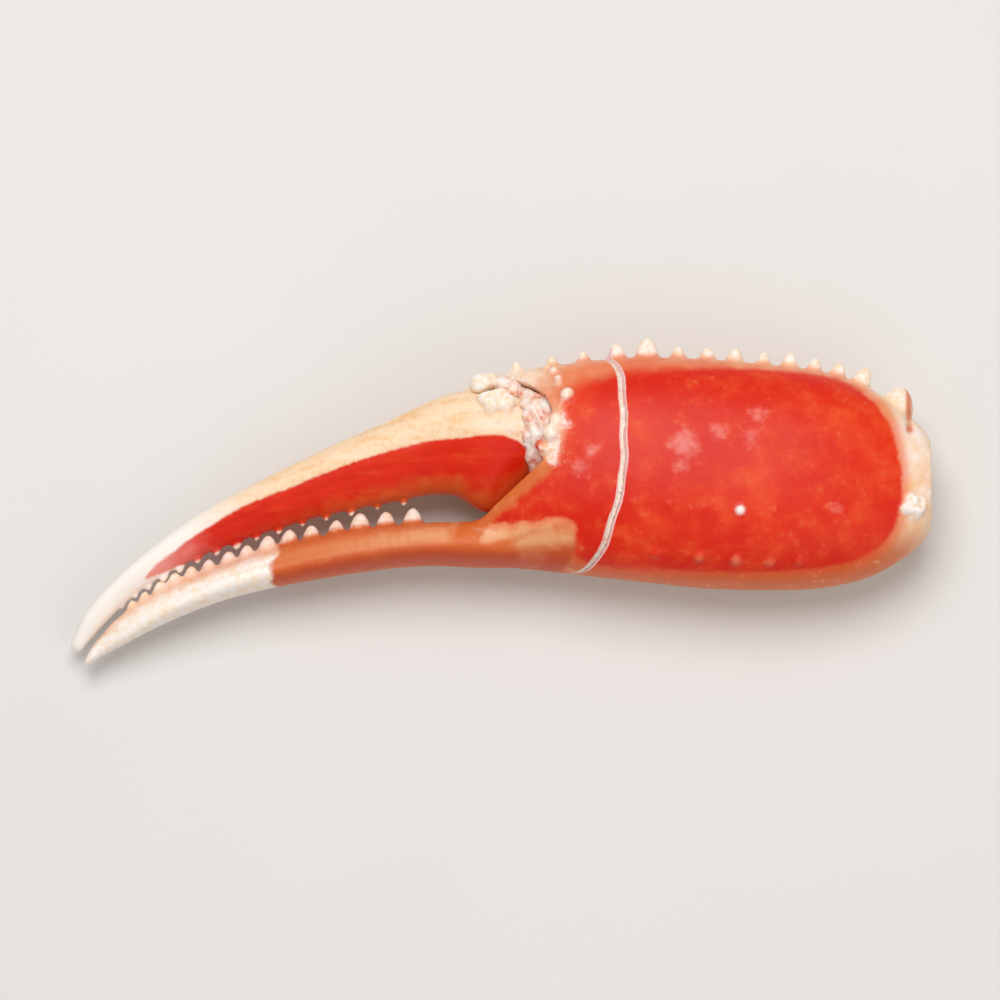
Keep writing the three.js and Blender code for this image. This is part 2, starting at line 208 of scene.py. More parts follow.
# %% Sections of a finger
class Finger:
    """A finger's sections from root to tip, and where a point lies among them."""

    def __init__(self, stations, teeth_side):
        upper, lower = (smooth_line([s[i] for s in stations]) for i in (0, 1))
        half = smooth_line([(i, s[2]) for i, s in enumerate(stations)])[:, 1] / 2
        share = np.linspace(0, 1, len(upper))
        self.share, self.half, self.pinch = share, half, EDGE_PINCH * teeth_side
        self.up = np.column_stack([(upper - lower) / 2, np.zeros(len(upper))])
        self.middle = np.column_stack([(upper + lower) / 2, MID_HEIGHT - TIP_DROP * share ** 1.7])

    def at(self, share):
        """Middle, half height vector and half thickness at each share of the way to the tip."""
        def pick(values):
            columns = np.atleast_2d(values.T)
            return np.column_stack([np.interp(share, self.share, column) for column in columns])
        return pick(self.middle), pick(self.up), pick(self.half)[:, 0]

    def locate(self, points):
        """For each point: its share of the way to the tip, its place between the edges from -1 to 1,
        and how far it stands outside the bare finger in mm."""
        shares, alongs = np.zeros(len(points)), np.zeros(len(points))
        squares = (self.up ** 2).sum(1)
        for start in range(0, len(points), 4000):
            part = points[start:start + 4000, None, :2] - self.middle[None, :, :2]
            along = (part * self.up[None, :, :2]).sum(2) / squares
            off = part - np.clip(along, -1, 1)[:, :, None] * self.up[None, :, :2]
            nearest = (off ** 2).sum(2).argmin(1)
            shares[start:start + 4000] = self.share[nearest]
            alongs[start:start + 4000] = along[np.arange(len(part)), nearest]
        middle, up, half = self.at(shares)
        out = points[:, 2] - middle[:, 2]
        across = out / (half * (1 - self.pinch * np.clip(alongs, -1, 1)))
        powers = np.abs(alongs) ** FINGER_BOXINESS + np.abs(across) ** FINGER_BOXINESS
        reach = powers ** (1 / FINGER_BOXINESS)
        length = np.hypot(alongs * np.linalg.norm(up, axis=1), out)
        return shares, alongs, length * (1 - 1 / np.maximum(reach, 0.05))


movable = Finger(MOVABLE_FINGER, teeth_side=-1)
fixed = Finger(FIXED_FINGER, teeth_side=1)
print("finger lengths, mm:", *(round(np.linalg.norm(np.diff(f.middle, axis=0), axis=1).sum(), 1)
                               for f in (movable, fixed)))

# %% [markdown]
# ## Nodes that read as maths
#
# A node tree is easier to read as an expression. This small class wraps one socket: the usual
# operators on it add Math nodes, and its `node` method adds any other kind. It serves the trees
# that build shapes and the trees that build finishes alike.

# %% A socket that does maths
class Flow:
    """One output socket of a node tree, with Python's operators."""

    def __init__(self, tree, socket=None):
        self.tree, self.socket = tree, socket

    def node(self, kind, settings=None, sockets=None, out=0):
        """Adds a node of a kind, with its settings first and then the values or links of its sockets."""
        made = self.tree.nodes.new(kind)
        for name, value in (settings or {}).items():
            setattr(made, name, value)
        for name, value in (sockets or {}).items():
            free = [s for s in made.inputs if s.enabled and name in (s.identifier, s.name)]
            socket = next((s for s in free if s.identifier == name), free[0])
            if isinstance(value, Flow):
                self.tree.links.new(value.socket, socket)
            else:
                socket.default_value = value
        shown = [s for s in made.outputs if s.enabled]
        return Flow(self.tree, shown[out] if isinstance(out, int) else made.outputs[out])

    def other(self, name):
        """Another output of the same node."""
        return Flow(self.tree, self.socket.node.outputs[name])

    def math(self, operation, *values, clamp=False):
        """A Math node on this value and up to two more."""
        sockets = dict(zip(("Value", "Value_001", "Value_002"), values))
        return self.node("ShaderNodeMath", {"operation": operation, "use_clamp": clamp}, sockets)

    def __add__(self, other):
        return self.math("ADD", self, other)

    def __sub__(self, other):
        return self.math("SUBTRACT", self, other)

    def __rsub__(self, other):
        return self.math("SUBTRACT", other, self)

    def __mul__(self, other):
        return self.math("MULTIPLY", self, other)

    def __truediv__(self, other):
        return self.math("DIVIDE", self, other)

    def __rtruediv__(self, other):
        return self.math("DIVIDE", other, self)

    __radd__, __rmul__ = __add__, __mul__

    def step(self, low, high):
        """0 below low and 1 above high, with a smooth rise between them."""
        sockets = {"Value": self, "From Min": low, "From Max": high}
        return self.node("ShaderNodeMapRange", {"interpolation_type": "SMOOTHSTEP"}, sockets)

    def vector(self, operation, *values, **named):
        """A Vector Math node."""
        sockets = {**dict(zip(("Vector", "Vector_001"), values)), **named}
        return self.node("ShaderNodeVectorMath", {"operation": operation}, sockets)

# %% [markdown]
# ## Two geometry trees
#
# Two rules make nearly everything here. The first lofts a closed skin through the sections on a
# rail: a rail is a plain chain of points that carries the half height and half thickness of its
# sections as attributes. The second sets a row of blunt spines along a rail, and with other sizes
# the same tree makes beads and teeth.

# %% A new geometry tree with named inputs
def geometry_tree(name, inputs):
    """A Geometry Nodes tree and its inputs as a dictionary of flows."""
    kinds = {int: "NodeSocketInt", float: "NodeSocketFloat", type(None): "NodeSocketMaterial"}
    tree = bpy.data.node_groups.new(name, "GeometryNodeTree")
    tree.interface.new_socket(name="Rail", in_out="INPUT", socket_type="NodeSocketGeometry")
    for label, default in inputs.items():
        socket = tree.interface.new_socket(name=label, in_out="INPUT", socket_type=kinds[type(default)])
        if default is not None:
            socket.default_value = default
    tree.interface.new_socket(name="Geometry", in_out="OUTPUT", socket_type="NodeSocketGeometry")
    given = tree.nodes.new("NodeGroupInput")
    return tree, {label: Flow(tree, given.outputs[label]) for label in ("Rail", *inputs)}


def close_tree(tree, shape, material):
    """Ends a tree: instances are made real, the material is set, and the result goes out."""
    real = shape.node("GeometryNodeRealizeInstances", sockets={"Geometry": shape})
    smooth = shape.node("GeometryNodeSetShadeSmooth", sockets={"Geometry": real})
    done = shape.node("GeometryNodeSetMaterial", sockets={"Geometry": smooth, "Material": material})
    given = tree.nodes.new("NodeGroupOutput")
    tree.links.new(done.socket, given.inputs["Geometry"])
    return tree

# %% Reading a rail's attributes
def sampler(curve, share):
    """A function that reads an attribute of a curve, or its position, at a share of its length."""
    def sample(kind, name, out=0):
        field = curve.node("GeometryNodeInputNamedAttribute", {"data_type": kind}, {"Name": name})
        settings = {"mode": "FACTOR", "data_type": kind}
        sockets = {"Curves": curve, "Value": field, "Factor": share}
        return curve.node("GeometryNodeSampleCurve", settings, sockets, out=out)
    return sample

# %% The loft tree
def loft_tree():
    """Lofts superellipse sections along a rail. Its first and last rows shrink to a point, as flat caps."""
    tree, given = geometry_tree("section loft", {"Rows": 100, "Sides": 60, "Boxiness": 2.2, "Pinch": 0.0,
                                                 "Material": None})
    curve = given["Rail"].node("GeometryNodeMeshToCurve", sockets={"Mesh": given["Rail"]})
    counts = {"Size X": 1.0, "Size Y": 1.0, "Vertices X": given["Rows"], "Vertices Y": given["Sides"]}
    grid = curve.node("GeometryNodeMeshGrid", sockets=counts)
    position = curve.node("GeometryNodeInputPosition")
    row, turn = (curve.node("ShaderNodeSeparateXYZ", sockets={"Vector": position}, out=i) + 0.5
                 for i in (0, 1))
    spacing = 1.0 / (given["Rows"] - 1.0)
    share = curve.node("ShaderNodeClamp", sockets={"Value": (row - spacing) / (1.0 - 2.0 * spacing)})
    open_row = (row.math("GREATER_THAN", row, spacing * 0.5)
                * row.math("LESS_THAN", row, 1.0 - spacing * 0.5))

    sample = sampler(curve, share)
    angle = turn * (2 * math.pi)

    def superellipse(wave):
        size = wave.math("POWER", wave.math("ABSOLUTE", wave), 2.0 / given["Boxiness"])
        return wave.math("SIGN", wave) * size * open_row

    along = superellipse(angle.math("COSINE", angle))
    across = superellipse(angle.math("SINE", angle)) * (1.0 - given["Pinch"] * along)
    inner = sample("FLOAT", "inner")
    thick = inner + (sample("FLOAT", "outer") - inner) * across.math("GREATER_THAN", across, 0.0)
    rise = curve.vector("SCALE", sample("FLOAT_VECTOR", "up"), Scale=along)
    out = curve.node("ShaderNodeCombineXYZ", sockets={"Z": across * thick})
    middle = sample("FLOAT_VECTOR", "up", out="Position")
    place = curve.vector("ADD", curve.vector("ADD", middle, rise), out)
    skin = curve.node("GeometryNodeSetPosition", sockets={"Geometry": grid, "Position": place})
    closed = curve.node("GeometryNodeMergeByDistance", sockets={"Geometry": skin, "Distance": 1e-4})
    return close_tree(tree, closed, given["Material"])


LOFT = loft_tree()
print("loft tree:", len(LOFT.nodes), "nodes")

# %% The spine tree
def spine_tree():
    """Sets blunt spines along a rail, which says which way is outward and how large they are.
    Crowding sets them closer together towards its end."""
    tree, given = geometry_tree("row of spines", {
        "Count": 10, "Crowding": 0.0, "Radius": 1.0, "Height": 1.5, "Taper": 0.5, "Unevenness": 0.3,
        "Jitter": 0.3, "Seed": 1, "Material": None})
    curve = given["Rail"].node("GeometryNodeMeshToCurve", sockets={"Mesh": given["Rail"]})
    line = curve.node("GeometryNodeMeshLine", sockets={"Count": given["Count"]})
    even = curve.node("GeometryNodeInputIndex") / (given["Count"] - 1.0)
    share = even + given["Crowding"] * even * (1.0 - even)
    sample = sampler(curve, share)

    def scatter(low, high, offset):
        return curve.node("FunctionNodeRandomValue", {"data_type": "FLOAT"},
                          {"Min": low, "Max": high, "Seed": given["Seed"] + float(offset)})

    push = curve.node("ShaderNodeCombineXYZ", sockets={
        "X": given["Jitter"] * scatter(-1.0, 1.0, 1), "Z": given["Jitter"] * scatter(-1.0, 1.0, 2)})
    on_rail = sample("FLOAT_VECTOR", "outward", out="Position")
    moved = curve.node("GeometryNodeSetPosition", sockets={
        "Geometry": line, "Position": on_rail, "Offset": push})

    ball = curve.node("GeometryNodeMeshUVSphere", sockets={"Segments": 14, "Rings": 10, "Radius": 1.0})
    position = curve.node("GeometryNodeInputPosition")
    x, y, z = (curve.node("ShaderNodeSeparateXYZ", sockets={"Vector": position}, out=i) for i in range(3))
    wide = given["Radius"] * (1.0 - given["Taper"] * z)
    blunt = curve.node("ShaderNodeCombineXYZ", sockets={
        "X": x * wide, "Y": y * wide, "Z": z * given["Height"]})
    spine = curve.node("GeometryNodeSetPosition", sockets={"Geometry": ball, "Position": blunt})

    outward = sample("FLOAT_VECTOR", "outward")
    turn = curve.node("FunctionNodeAlignRotationToVector", {"axis": "Z"}, {"Vector": outward})
    scale = sample("FLOAT", "size") * (1.0 + given["Unevenness"] * scatter(-1.0, 1.0, 3))
    each = curve.node("ShaderNodeCombineXYZ", sockets={"X": scale, "Y": scale, "Z": scale})
    row = curve.node("GeometryNodeInstanceOnPoints", sockets={
        "Points": moved, "Instance": spine, "Rotation": turn, "Scale": each})
    return close_tree(tree, row, given["Material"])


SPINES = spine_tree()
print("spine tree:", len(SPINES.nodes), "nodes")

# %% Growing a mesh from a rail
def new_object(name, mesh):
    """A new object in the scene."""
    made = bpy.data.objects.new(name, mesh)
    bpy.context.scene.collection.objects.link(made)
    return made


def rail(points, **fields):
    """A chain of points in mm that carries fields: vectors or numbers, one for each point."""
    mesh = bpy.data.meshes.new("rail")
    mesh.from_pydata(np.asarray(points).tolist(), [(i, i + 1) for i in range(len(points) - 1)], [])
    for name, values in fields.items():
        kind, key = ("FLOAT_VECTOR", "vector") if np.ndim(values) == 2 else ("FLOAT", "value")
        mesh.attributes.new(name, kind, "POINT").data.foreach_set(key, np.ravel(values).astype(np.float32))
    return new_object("rail", mesh)


def evaluated_mesh(made):
    """The object's mesh with its modifiers worked in. The object itself is removed."""
    bpy.context.view_layer.update()
    graph = bpy.context.evaluated_depsgraph_get()
    mesh = bpy.data.meshes.new_from_object(made.evaluated_get(graph), depsgraph=graph)
    bpy.data.objects.remove(made)
    return mesh


def grow(tree, along, **sizes):
    """Runs a geometry tree on a rail and gives a plain closed mesh with its faces pointing out."""
    modifier = along.modifiers.new("grow", "NODES")
    modifier.node_group = tree
    for item in tree.interface.items_tree:
        if item.in_out == "INPUT" and item.name in sizes:
            modifier[item.identifier] = sizes[item.name]
    mesh = evaluated_mesh(along)
    shape = bmesh.new()
    shape.from_mesh(mesh)
    bmesh.ops.recalc_face_normals(shape, faces=shape.faces)
    shape.to_mesh(mesh)
    shape.free()
    return mesh

# %% [markdown]
# ## Shell work
#
# The real shell is one skin: spines, beads and teeth rise out of it without a seam. Overlapping
# meshes are therefore fused by a voxel remesh, which wraps one even skin round them all, and
# softened a little, as a blunt natural edge is. Relief is then raised by moving points straight out
# of the skin, because waves and pebbles are easier to state as heights than to draw as meshes. The
# hollow and the saw cut come after that, so that their edges stay crisp.

# %% Fusing and cutting
def merged(meshes):
    """One mesh that holds copies of all the given ones."""
    shape = bmesh.new()
    for mesh in meshes:
        shape.from_mesh(mesh)
    whole = bpy.data.meshes.new("merged")
    shape.to_mesh(whole)
    shape.free()
    return whole


def fuse(meshes, voxel, softening):
    """Wraps overlapping meshes in one even skin."""
    made = new_object("fuse", merged(meshes))
    remesh = made.modifiers.new("one skin", "REMESH")
    remesh.mode, remesh.voxel_size, remesh.use_smooth_shade = "VOXEL", voxel, True
    soften = made.modifiers.new("soften", "SMOOTH")
    soften.factor, soften.iterations = 0.5, softening
    return evaluated_mesh(made)


def combine(mesh, tool, operation):
    """Cuts a closed mesh with another, or joins them."""
    made, other = new_object("body", mesh), new_object("tool", tool)
    modifier = made.modifiers.new("combine", "BOOLEAN")
    modifier.operation, modifier.solver, modifier.object = operation, "MANIFOLD", other
    result = evaluated_mesh(made)
    bpy.data.objects.remove(other)
    return result

# %% Reading and moving points
def read_rows(source, name):
    """One vector for each point, as the rows of an array."""
    flat = np.zeros(3 * len(source), np.float32)
    source.foreach_get(name, flat)
    return flat.reshape(-1, 3).astype(float)


def read_points(mesh):
    """The places of a mesh's points."""
    return read_rows(mesh.vertices, "co")


def write_points(mesh, points):
    """Puts the points of a mesh at new places."""
    mesh.vertices.foreach_set("co", points.astype(np.float32).ravel())
    mesh.update()


def raise_points(mesh, heights):
    """Moves each point straight out of the skin by its height in mm."""
    outward = read_rows(mesh.vertex_normals, "vector")
    write_points(mesh, read_points(mesh) + outward * np.asarray(heights)[:, None])


def rest_on_table(mesh):
    """Flattens what would lie under the table's top."""
    points = read_points(mesh)
    points[:, 2] = np.maximum(points[:, 2], 0)
    write_points(mesh, points)


PULL = 0.6  # share of the way to its neighbours' middle that one round moves a point


def soften_where(mesh, weights, rounds):
    """Moves each point towards the middle of its neighbours, as far as its weight says."""
    points = read_points(mesh)
    ends = np.zeros(2 * len(mesh.edges), np.int64)
    mesh.edges.foreach_get("vertices", ends)
    start, end = ends[0::2], ends[1::2]
    count = len(points)
    neighbours = np.bincount(ends, minlength=count)[:, None]
    for _ in range(rounds):
        around = np.column_stack([
            np.bincount(start, points[end, i], count) + np.bincount(end, points[start, i], count)
            for i in range(3)])
        points += PULL * weights[:, None] * (around / neighbours - points)
    write_points(mesh, points)

# %% Clouds and ramps
def clouds(points, size, seed=0):
    """Smooth noise from about -1 to 1 at each point, whose lumps are size mm apart."""
    shift = Vector((13.7 * seed, 5.1 * seed, 7.9 * seed))
    return np.array([noise.noise(Vector(p) / size + shift) for p in points])


def ramp(values, low, high):
    """0 below low and 1 above high, with a smooth rise between them."""
    share = np.clip((np.asarray(values) - low) / (high - low), 0, 1)
    return share * share * (3 - 2 * share)

# %% [markdown]
# ## Closed cutters
#
# Three things are cut out of the palm: the mouth that the movable finger works in, the hollow that
# holds the meat, and the saw's kerf. The kerf is not quite straight, as it is sawn by hand against
# a round shell.

# %% The mouth
MOUTH_RIM = [(-0.9, 14.2), (2.4, 13.3), (5.2, 11.2), (6.4, 7.6), (5.6, 4.1)]
MOUTH_LOBE = [(-1, -1.8), (-2.6, -2.8), (-5, -3.2), (-8, -3.4)]
MOUTH_FAR, MOUTH_TOP = -14, 24  # the cutter reaches this far along X and Y, past the palm's front and top

mouth_rim = smooth_line(MOUTH_RIM, steps=10)


def prism(outline, low, high):
    """A closed block with an outline in the XY plane, from low to high in Z."""
    shape = bmesh.new()
    face = shape.faces.new([shape.verts.new((x, y, low)) for x, y in outline])
    lifted = bmesh.ops.extrude_face_region(shape, geom=[face])["geom"]
    bmesh.ops.translate(shape, verts=[v for v in lifted if isinstance(v, bmesh.types.BMVert)],
                        vec=(0, 0, high - low))
    bmesh.ops.recalc_face_normals(shape, faces=shape.faces)
    mesh = bpy.data.meshes.new("prism")
    shape.to_mesh(mesh)
    shape.free()
    return mesh


def mouth_cutter():
    """Everything in front of the palm's front edge."""
    lobe = smooth_line(MOUTH_LOBE, steps=10)
    outline = [(MOUTH_FAR, MOUTH_TOP), (-1.6, 15.4), *mouth_rim, *lobe, (MOUTH_FAR, lobe[-1][1])]
    return prism(outline, low=-5, high=25)


print("mouth rim, mm:", round(np.linalg.norm(np.diff(mouth_rim, axis=0), axis=1).sum(), 1))

# %% The saw's kerf
SCORE_WIDTH = 0.7
SCORE_FRAY = 0.05  # how rough the saw leaves the two edges
SCORE_AT = np.array([14.1, 4, 15.9])  # a point on the saw's plane
SCORE_LEAN = np.array([1, -0.08, -0.5])  # the direction that this plane faces
SCORE_BRIDGE = 3.2  # the cut ends this far above the table
SCORE_ENDS, SCORE_TOP = (-14, 20), 22  # the saw's reach along Y and its top, past the shell


def score_x(y, z):
    """Where the saw's plane is, at each y and z."""
    off = (y - SCORE_AT[1]) * SCORE_LEAN[1] + (z - SCORE_AT[2]) * SCORE_LEAN[2]
    return SCORE_AT[0] - off / SCORE_LEAN[0]


def score_wobble(y, z):
    """How far the saw strayed from its plane."""
    return 0.16 * np.sin(0.42 * y + 0.9) + 0.07 * np.sin(1.3 * y + 0.2 * z)


def score_slab(width):
    """The slab that the saw took out, or the strip of meat that stands in it."""
    rows, columns = 70, 24
    y, z = np.meshgrid(np.linspace(*SCORE_ENDS, rows), np.linspace(SCORE_BRIDGE, SCORE_TOP, columns),
                       indexing="ij")
    shape = bmesh.new()
    sheets = []  # the slab's two faces, as rows of points
    for side in (-1, 1):
        fray = SCORE_FRAY * np.sin(3.1 * y + 5 * side) * np.cos(2.3 * y - 1.7 * side)
        x = score_x(y, z) + score_wobble(y, z) + side * (width / 2 + fray)
        sheets.append([[shape.verts.new(p) for p in zip(*line)] for line in zip(x, y, z)])
    for sheet in sheets:
        for a, b in zip(sheet, sheet[1:]):
            for i in range(columns - 1):
                shape.faces.new((a[i], a[i + 1], b[i + 1], b[i]))
    loops = []  # the points round each face, which a band of faces joins
    for sheet in sheets:
        loops.append([*sheet[0], *[line[-1] for line in sheet[1:]], *sheet[-1][-2::-1],
                      *[line[0] for line in sheet[-2:0:-1]]])
    for i in range(len(loops[0])):
        j = (i + 1) % len(loops[0])
        shape.faces.new((loops[0][i], loops[0][j], loops[1][j], loops[1][i]))
    bmesh.ops.recalc_face_normals(shape, faces=shape.faces)
    mesh = bpy.data.meshes.new("kerf")
    shape.to_mesh(mesh)
    shape.free()
    return mesh


print("X of the saw cut at the crest and the lower edge, mm:",
      *(round(score_x(y, MID_HEIGHT), 1) for y in (16, -9)))

# %% The hollow
HOLLOW_X, HOLLOW_LOW = 5.2, 5.2  # where the hollow ends, and its lower side there
HOLLOW_BLEND = 11  # it widens to the palm's own sections over this length
MEAT_FRONT_X, MEAT_RECESS = 12, 0.5


def palm_rail(inset, front, back, hollow=False):
    """The palm's sections from its wrist end to its front. As a hollow it narrows to the mouth."""
    x = np.linspace(back, front, 240)
    middle, half_height, outer, inner = palm_section(np.minimum(x, WRIST_X), inset)
    middle[:, 0] = x
    if hollow:
        top, bottom = middle[:, 1] + half_height, middle[:, 1] - half_height
        floor_y = HOLLOW_LOW + inset - SHELL
        bottom = floor_y + (bottom - floor_y) * ramp(x, HOLLOW_X, HOLLOW_X + HOLLOW_BLEND)
        middle[:, 1], half_height = (top + bottom) / 2, (top - bottom) / 2
    up = np.column_stack([np.zeros(len(x)), half_height, np.zeros(len(x))])
    return rail(middle, up=up, outer=outer, inner=inner)


TIP_START = 0.97  # the tips round off beyond this share of the finger


def finger_rail(finger, tip_half):
    """A finger's sections, rounded off at a tip of a given half thickness."""
    past = ((finger.share - TIP_START) / (1 - TIP_START)).clip(0, 1)
    rounding = np.sqrt(np.clip(1 - past ** 2, 0.02, 1))
    height = np.linalg.norm(finger.up, axis=1)
    fuller = np.maximum(height, tip_half) * rounding
    half = np.maximum(finger.half, tip_half) * rounding
    return rail(finger.middle, up=finger.up * (fuller / height)[:, None], outer=half, inner=half)

# %% [markdown]
# ## Spines, beads and teeth
#
# A crest of pale spines runs along the upper edge, rows of low beads along the outer face and the
# rim of the joint, and blunt teeth along both fingers. Each row is one rail and one run of the
# spine tree. The knobs at the rim and the wrist are too uneven for that, so they are balls that
# noise pushes out of round.

# %% Rows on the palm
# where each row starts and ends along X, and its angle round the palm in degrees from the crest
CREST_X, LOWER_X, FACE_X, FRONT_X = (2.1, 41.6), (12.5, 34.1), (15.4, 39.4), (-3.4, 0.4)
CREST_ANGLE, LOWER_ANGLE, FACE_ANGLE, FRONT_ANGLE = 11, 141, 109, 22
RIM_ANGLES = (14, 80)
CREST_COUNT, CREST_CROWDING = 13, 0.2
FACE_BEAD_X = 27.4  # where the brightest bead of the outer face sits
WRIST_SPINE = (45.8, 10.8, MID_HEIGHT + 1)
WRIST_KNOB = (47, -1.4, 12.6)
KNOBS = [  # middle and half sizes of each uneven knob: two at the rim, then three at the wrist
    ((6.2, 6.6, 14), (1.1, 1, 1.2)),
    ((5.6, 5.1, 13.6), (1.3, 1.1, 1.2)),
    (WRIST_KNOB, (1.8, 1.5, 1.2)),
    ((48, 0.9, 12), (1, 1.3, 0.9)),
    ((46.6, 1.2, 3.4), (1.8, 1.7, 1.1)),
]


def palm_row(x, degrees, size, **sizes):
    """A row of spines along the palm, with their sizes along the row."""
    degrees = np.broadcast_to(degrees, np.shape(x)).astype(float)
    along = rail(palm_point(x, degrees), outward=palm_normal(x, degrees), size=size)
    return grow(SPINES, along, **sizes)


def lump(centre, halves):
    """A knob as shell grows one, a little uneven."""
    shape = bmesh.new()
    bmesh.ops.create_icosphere(shape, subdivisions=4, radius=1)
    for point in shape.verts:
        spread = 1 + 0.4 * noise.noise(point.co * 1.5 + Vector(centre))
        point.co = Vector(centre) + spread * (Matrix.Diagonal(halves) @ point.co)
    mesh = bpy.data.meshes.new("lump")
    shape.to_mesh(mesh)
    shape.free()
    return mesh


def single_spine(base, direction, radius, height):
    """One spine on its own."""
    direction = np.array(direction) / np.linalg.norm(direction)
    along = rail([base, np.array(base) + 1e-3], outward=[direction] * 2, size=[1, 1])
    return grow(SPINES, along, Count=1, Radius=radius, Height=height, Taper=0.25, Unevenness=0.0,
                Jitter=0.0)


def palm_ornaments():
    """Everything that stands on the palm."""
    x = np.linspace(*CREST_X, 160)
    # the spines grow towards the saw cut, and the one behind it is the tallest
    taller = (0.7 + 0.26 * ramp(x, 3, 13) + 0.2 * np.exp(-((x - 13.5) / 1.2) ** 2)
              + 0.34 * np.exp(-((x - 17.6) / 1.6) ** 2) + 0.2 * ramp(x, 40, 41.5))
    crest = palm_row(x, CREST_ANGLE, taller, Count=CREST_COUNT, Crowding=CREST_CROWDING, Radius=1.0,
                     Height=1.62, Taper=0.15, Seed=4, Unevenness=0.12, Jitter=0.2)
    lower = palm_row(np.linspace(*LOWER_X, 80), LOWER_ANGLE, np.ones(80), Count=6, Crowding=0.3,
                     Radius=0.75, Height=0.42, Taper=0.2, Seed=7, Unevenness=0.1, Jitter=0.1)
    x = np.linspace(*FACE_X, 60)
    larger = 0.5 + 0.5 * np.exp(-((x - FACE_BEAD_X) / 2) ** 2)
    face = palm_row(x, FACE_ANGLE, larger, Count=7, Radius=0.62, Height=0.5, Taper=0.2, Seed=12,
                    Unevenness=0.1, Jitter=0.0)
    turn = np.linspace(0, 1, 40)
    rim_x = 4.0 + 3.3 * np.sin(np.pi * (0.16 + 0.6 * turn))
    rim_angle = RIM_ANGLES[0] + (RIM_ANGLES[1] - RIM_ANGLES[0]) * turn
    rim = palm_row(rim_x, rim_angle, 0.6 + 0.5 * turn, Count=15, Radius=0.72, Height=0.5,
                   Taper=0.2, Seed=3, Unevenness=0.4, Jitter=0.6)
    front = palm_row(np.linspace(*FRONT_X, 20), FRONT_ANGLE, np.ones(20), Count=5, Radius=0.95,
                     Height=0.75, Taper=0.3, Seed=6, Unevenness=0.4, Jitter=0.7)
    wrist = single_spine(WRIST_SPINE, direction=(0.3, 1, 0.1), radius=2.1, height=2.4)
    return [crest, lower, face, rim, front, wrist, *(lump(*knob) for knob in KNOBS)]


print("crest spines:", CREST_COUNT, "over", round(CREST_X[1] - CREST_X[0], 1), "mm")

# %% Rows of teeth
TEETH, TEETH_CROWDING = 15, 0.28  # teeth in a row, and how much closer they stand towards the tips
GAPE_START, GAPE_END = -9.9, -42.3  # where the rows begin and end along X
TOOTH_SUNK = 0.3  # how deep a tooth's middle lies under the edge


def working_edges():
    """The two working edges at the same steps along the gape, and the gap between them."""
    x = np.linspace(GAPE_START, GAPE_END - 1, 160)
    edges = []
    for finger, side in ((movable, -1), (fixed, 1)):
        edge = finger.middle + side * finger.up
        order = np.argsort(edge[:, 0])
        y, z = (np.interp(x, edge[order, 0], edge[order, i]) for i in (1, 2))
        edges.append(np.column_stack([x, y, z]))
    slope = np.gradient(edges[1][:, 1], x)
    gap = (edges[0][:, 1] - edges[1][:, 1]) / np.hypot(1, slope)
    return edges, gap


def teeth_row(which, seed, gap_shares, phase):
    """The teeth of one finger. Those of the other stand half a step on, so that the rows mesh."""
    edges, gap = working_edges()
    use = slice(phase, len(gap) - 5 + phase)
    edge, across = edges[which][use], (edges[1 - which] - edges[which])[use]
    outward = across / np.linalg.norm(across, axis=1, keepdims=True)
    size = np.linspace(*gap_shares, len(edge)) * gap[use] + TOOTH_SUNK
    along = rail(edge - TOOTH_SUNK * outward, outward=outward, size=size)
    return grow(SPINES, along, Count=TEETH, Crowding=TEETH_CROWDING, Radius=0.58, Height=1.0, Taper=0.22,
                Unevenness=0.12, Jitter=0.1, Seed=seed)


print("gape at its widest, mm:", round(working_edges()[1].max(), 1))

# %% [markdown]
# ## The palm's shell and fixed finger
#
# On the real claw the fixed finger is part of the palm's shell, so both are one piece. It is fused
# from the lofted palm, with its mouth already cut, the lofted finger, and all their ornaments.
# Where the finger flows into the palm the seam is smoothed away. Then relief is raised in it: slow
# waves, a fine pebbling, a shallow groove along the finger, and a deeper one where the wrist's
# collar starts.

# %% Relief
GROOVE_X, GROOVE_HALF = 47.1, 0.5  # where the groove lies along X, and about half its width


def wrist_groove(points):
    """1 in the groove behind the wrist spine, where the collar starts, and 0 away from it."""
    return ramp(points[:, 1], 6, 7.6) * np.exp(-((points[:, 0] - GROOVE_X) / GROOVE_HALF) ** 2)


def shell_relief(mesh):
    """Raises the shell's relief."""
    points = read_points(mesh)
    share, along, _ = fixed.locate(points)
    on_finger = ramp(-points[:, 0], -2, 6) * ramp(3 - points[:, 1], 0, 3)
    waves = 0.12 * clouds(points, 9, 1) + 0.03 * clouds(points, 3, 2)
    pebbles = 0.012 * clouds(points, 0.9, 3)
    middle_of_finger = ramp(share, 0.3, 0.45) * ramp(1 - share, 0.2, 0.4)
    groove = -0.1 * np.exp(-((along - 0.1) / 0.2) ** 2) * middle_of_finger
    collar = -0.3 * wrist_groove(points) * ramp(-points[:, 1], -10.5, -9.5)
    raise_points(mesh, waves * (1 - 0.6 * on_finger) + pebbles * (1 - 0.5 * on_finger)
                 + on_finger * groove + collar)
    rest_on_table(mesh)


LOBE_MIDDLE, LOBE_HALVES = (3.5, -6, 12), (11, 4.5, 6)  # the block where finger and palm flow together


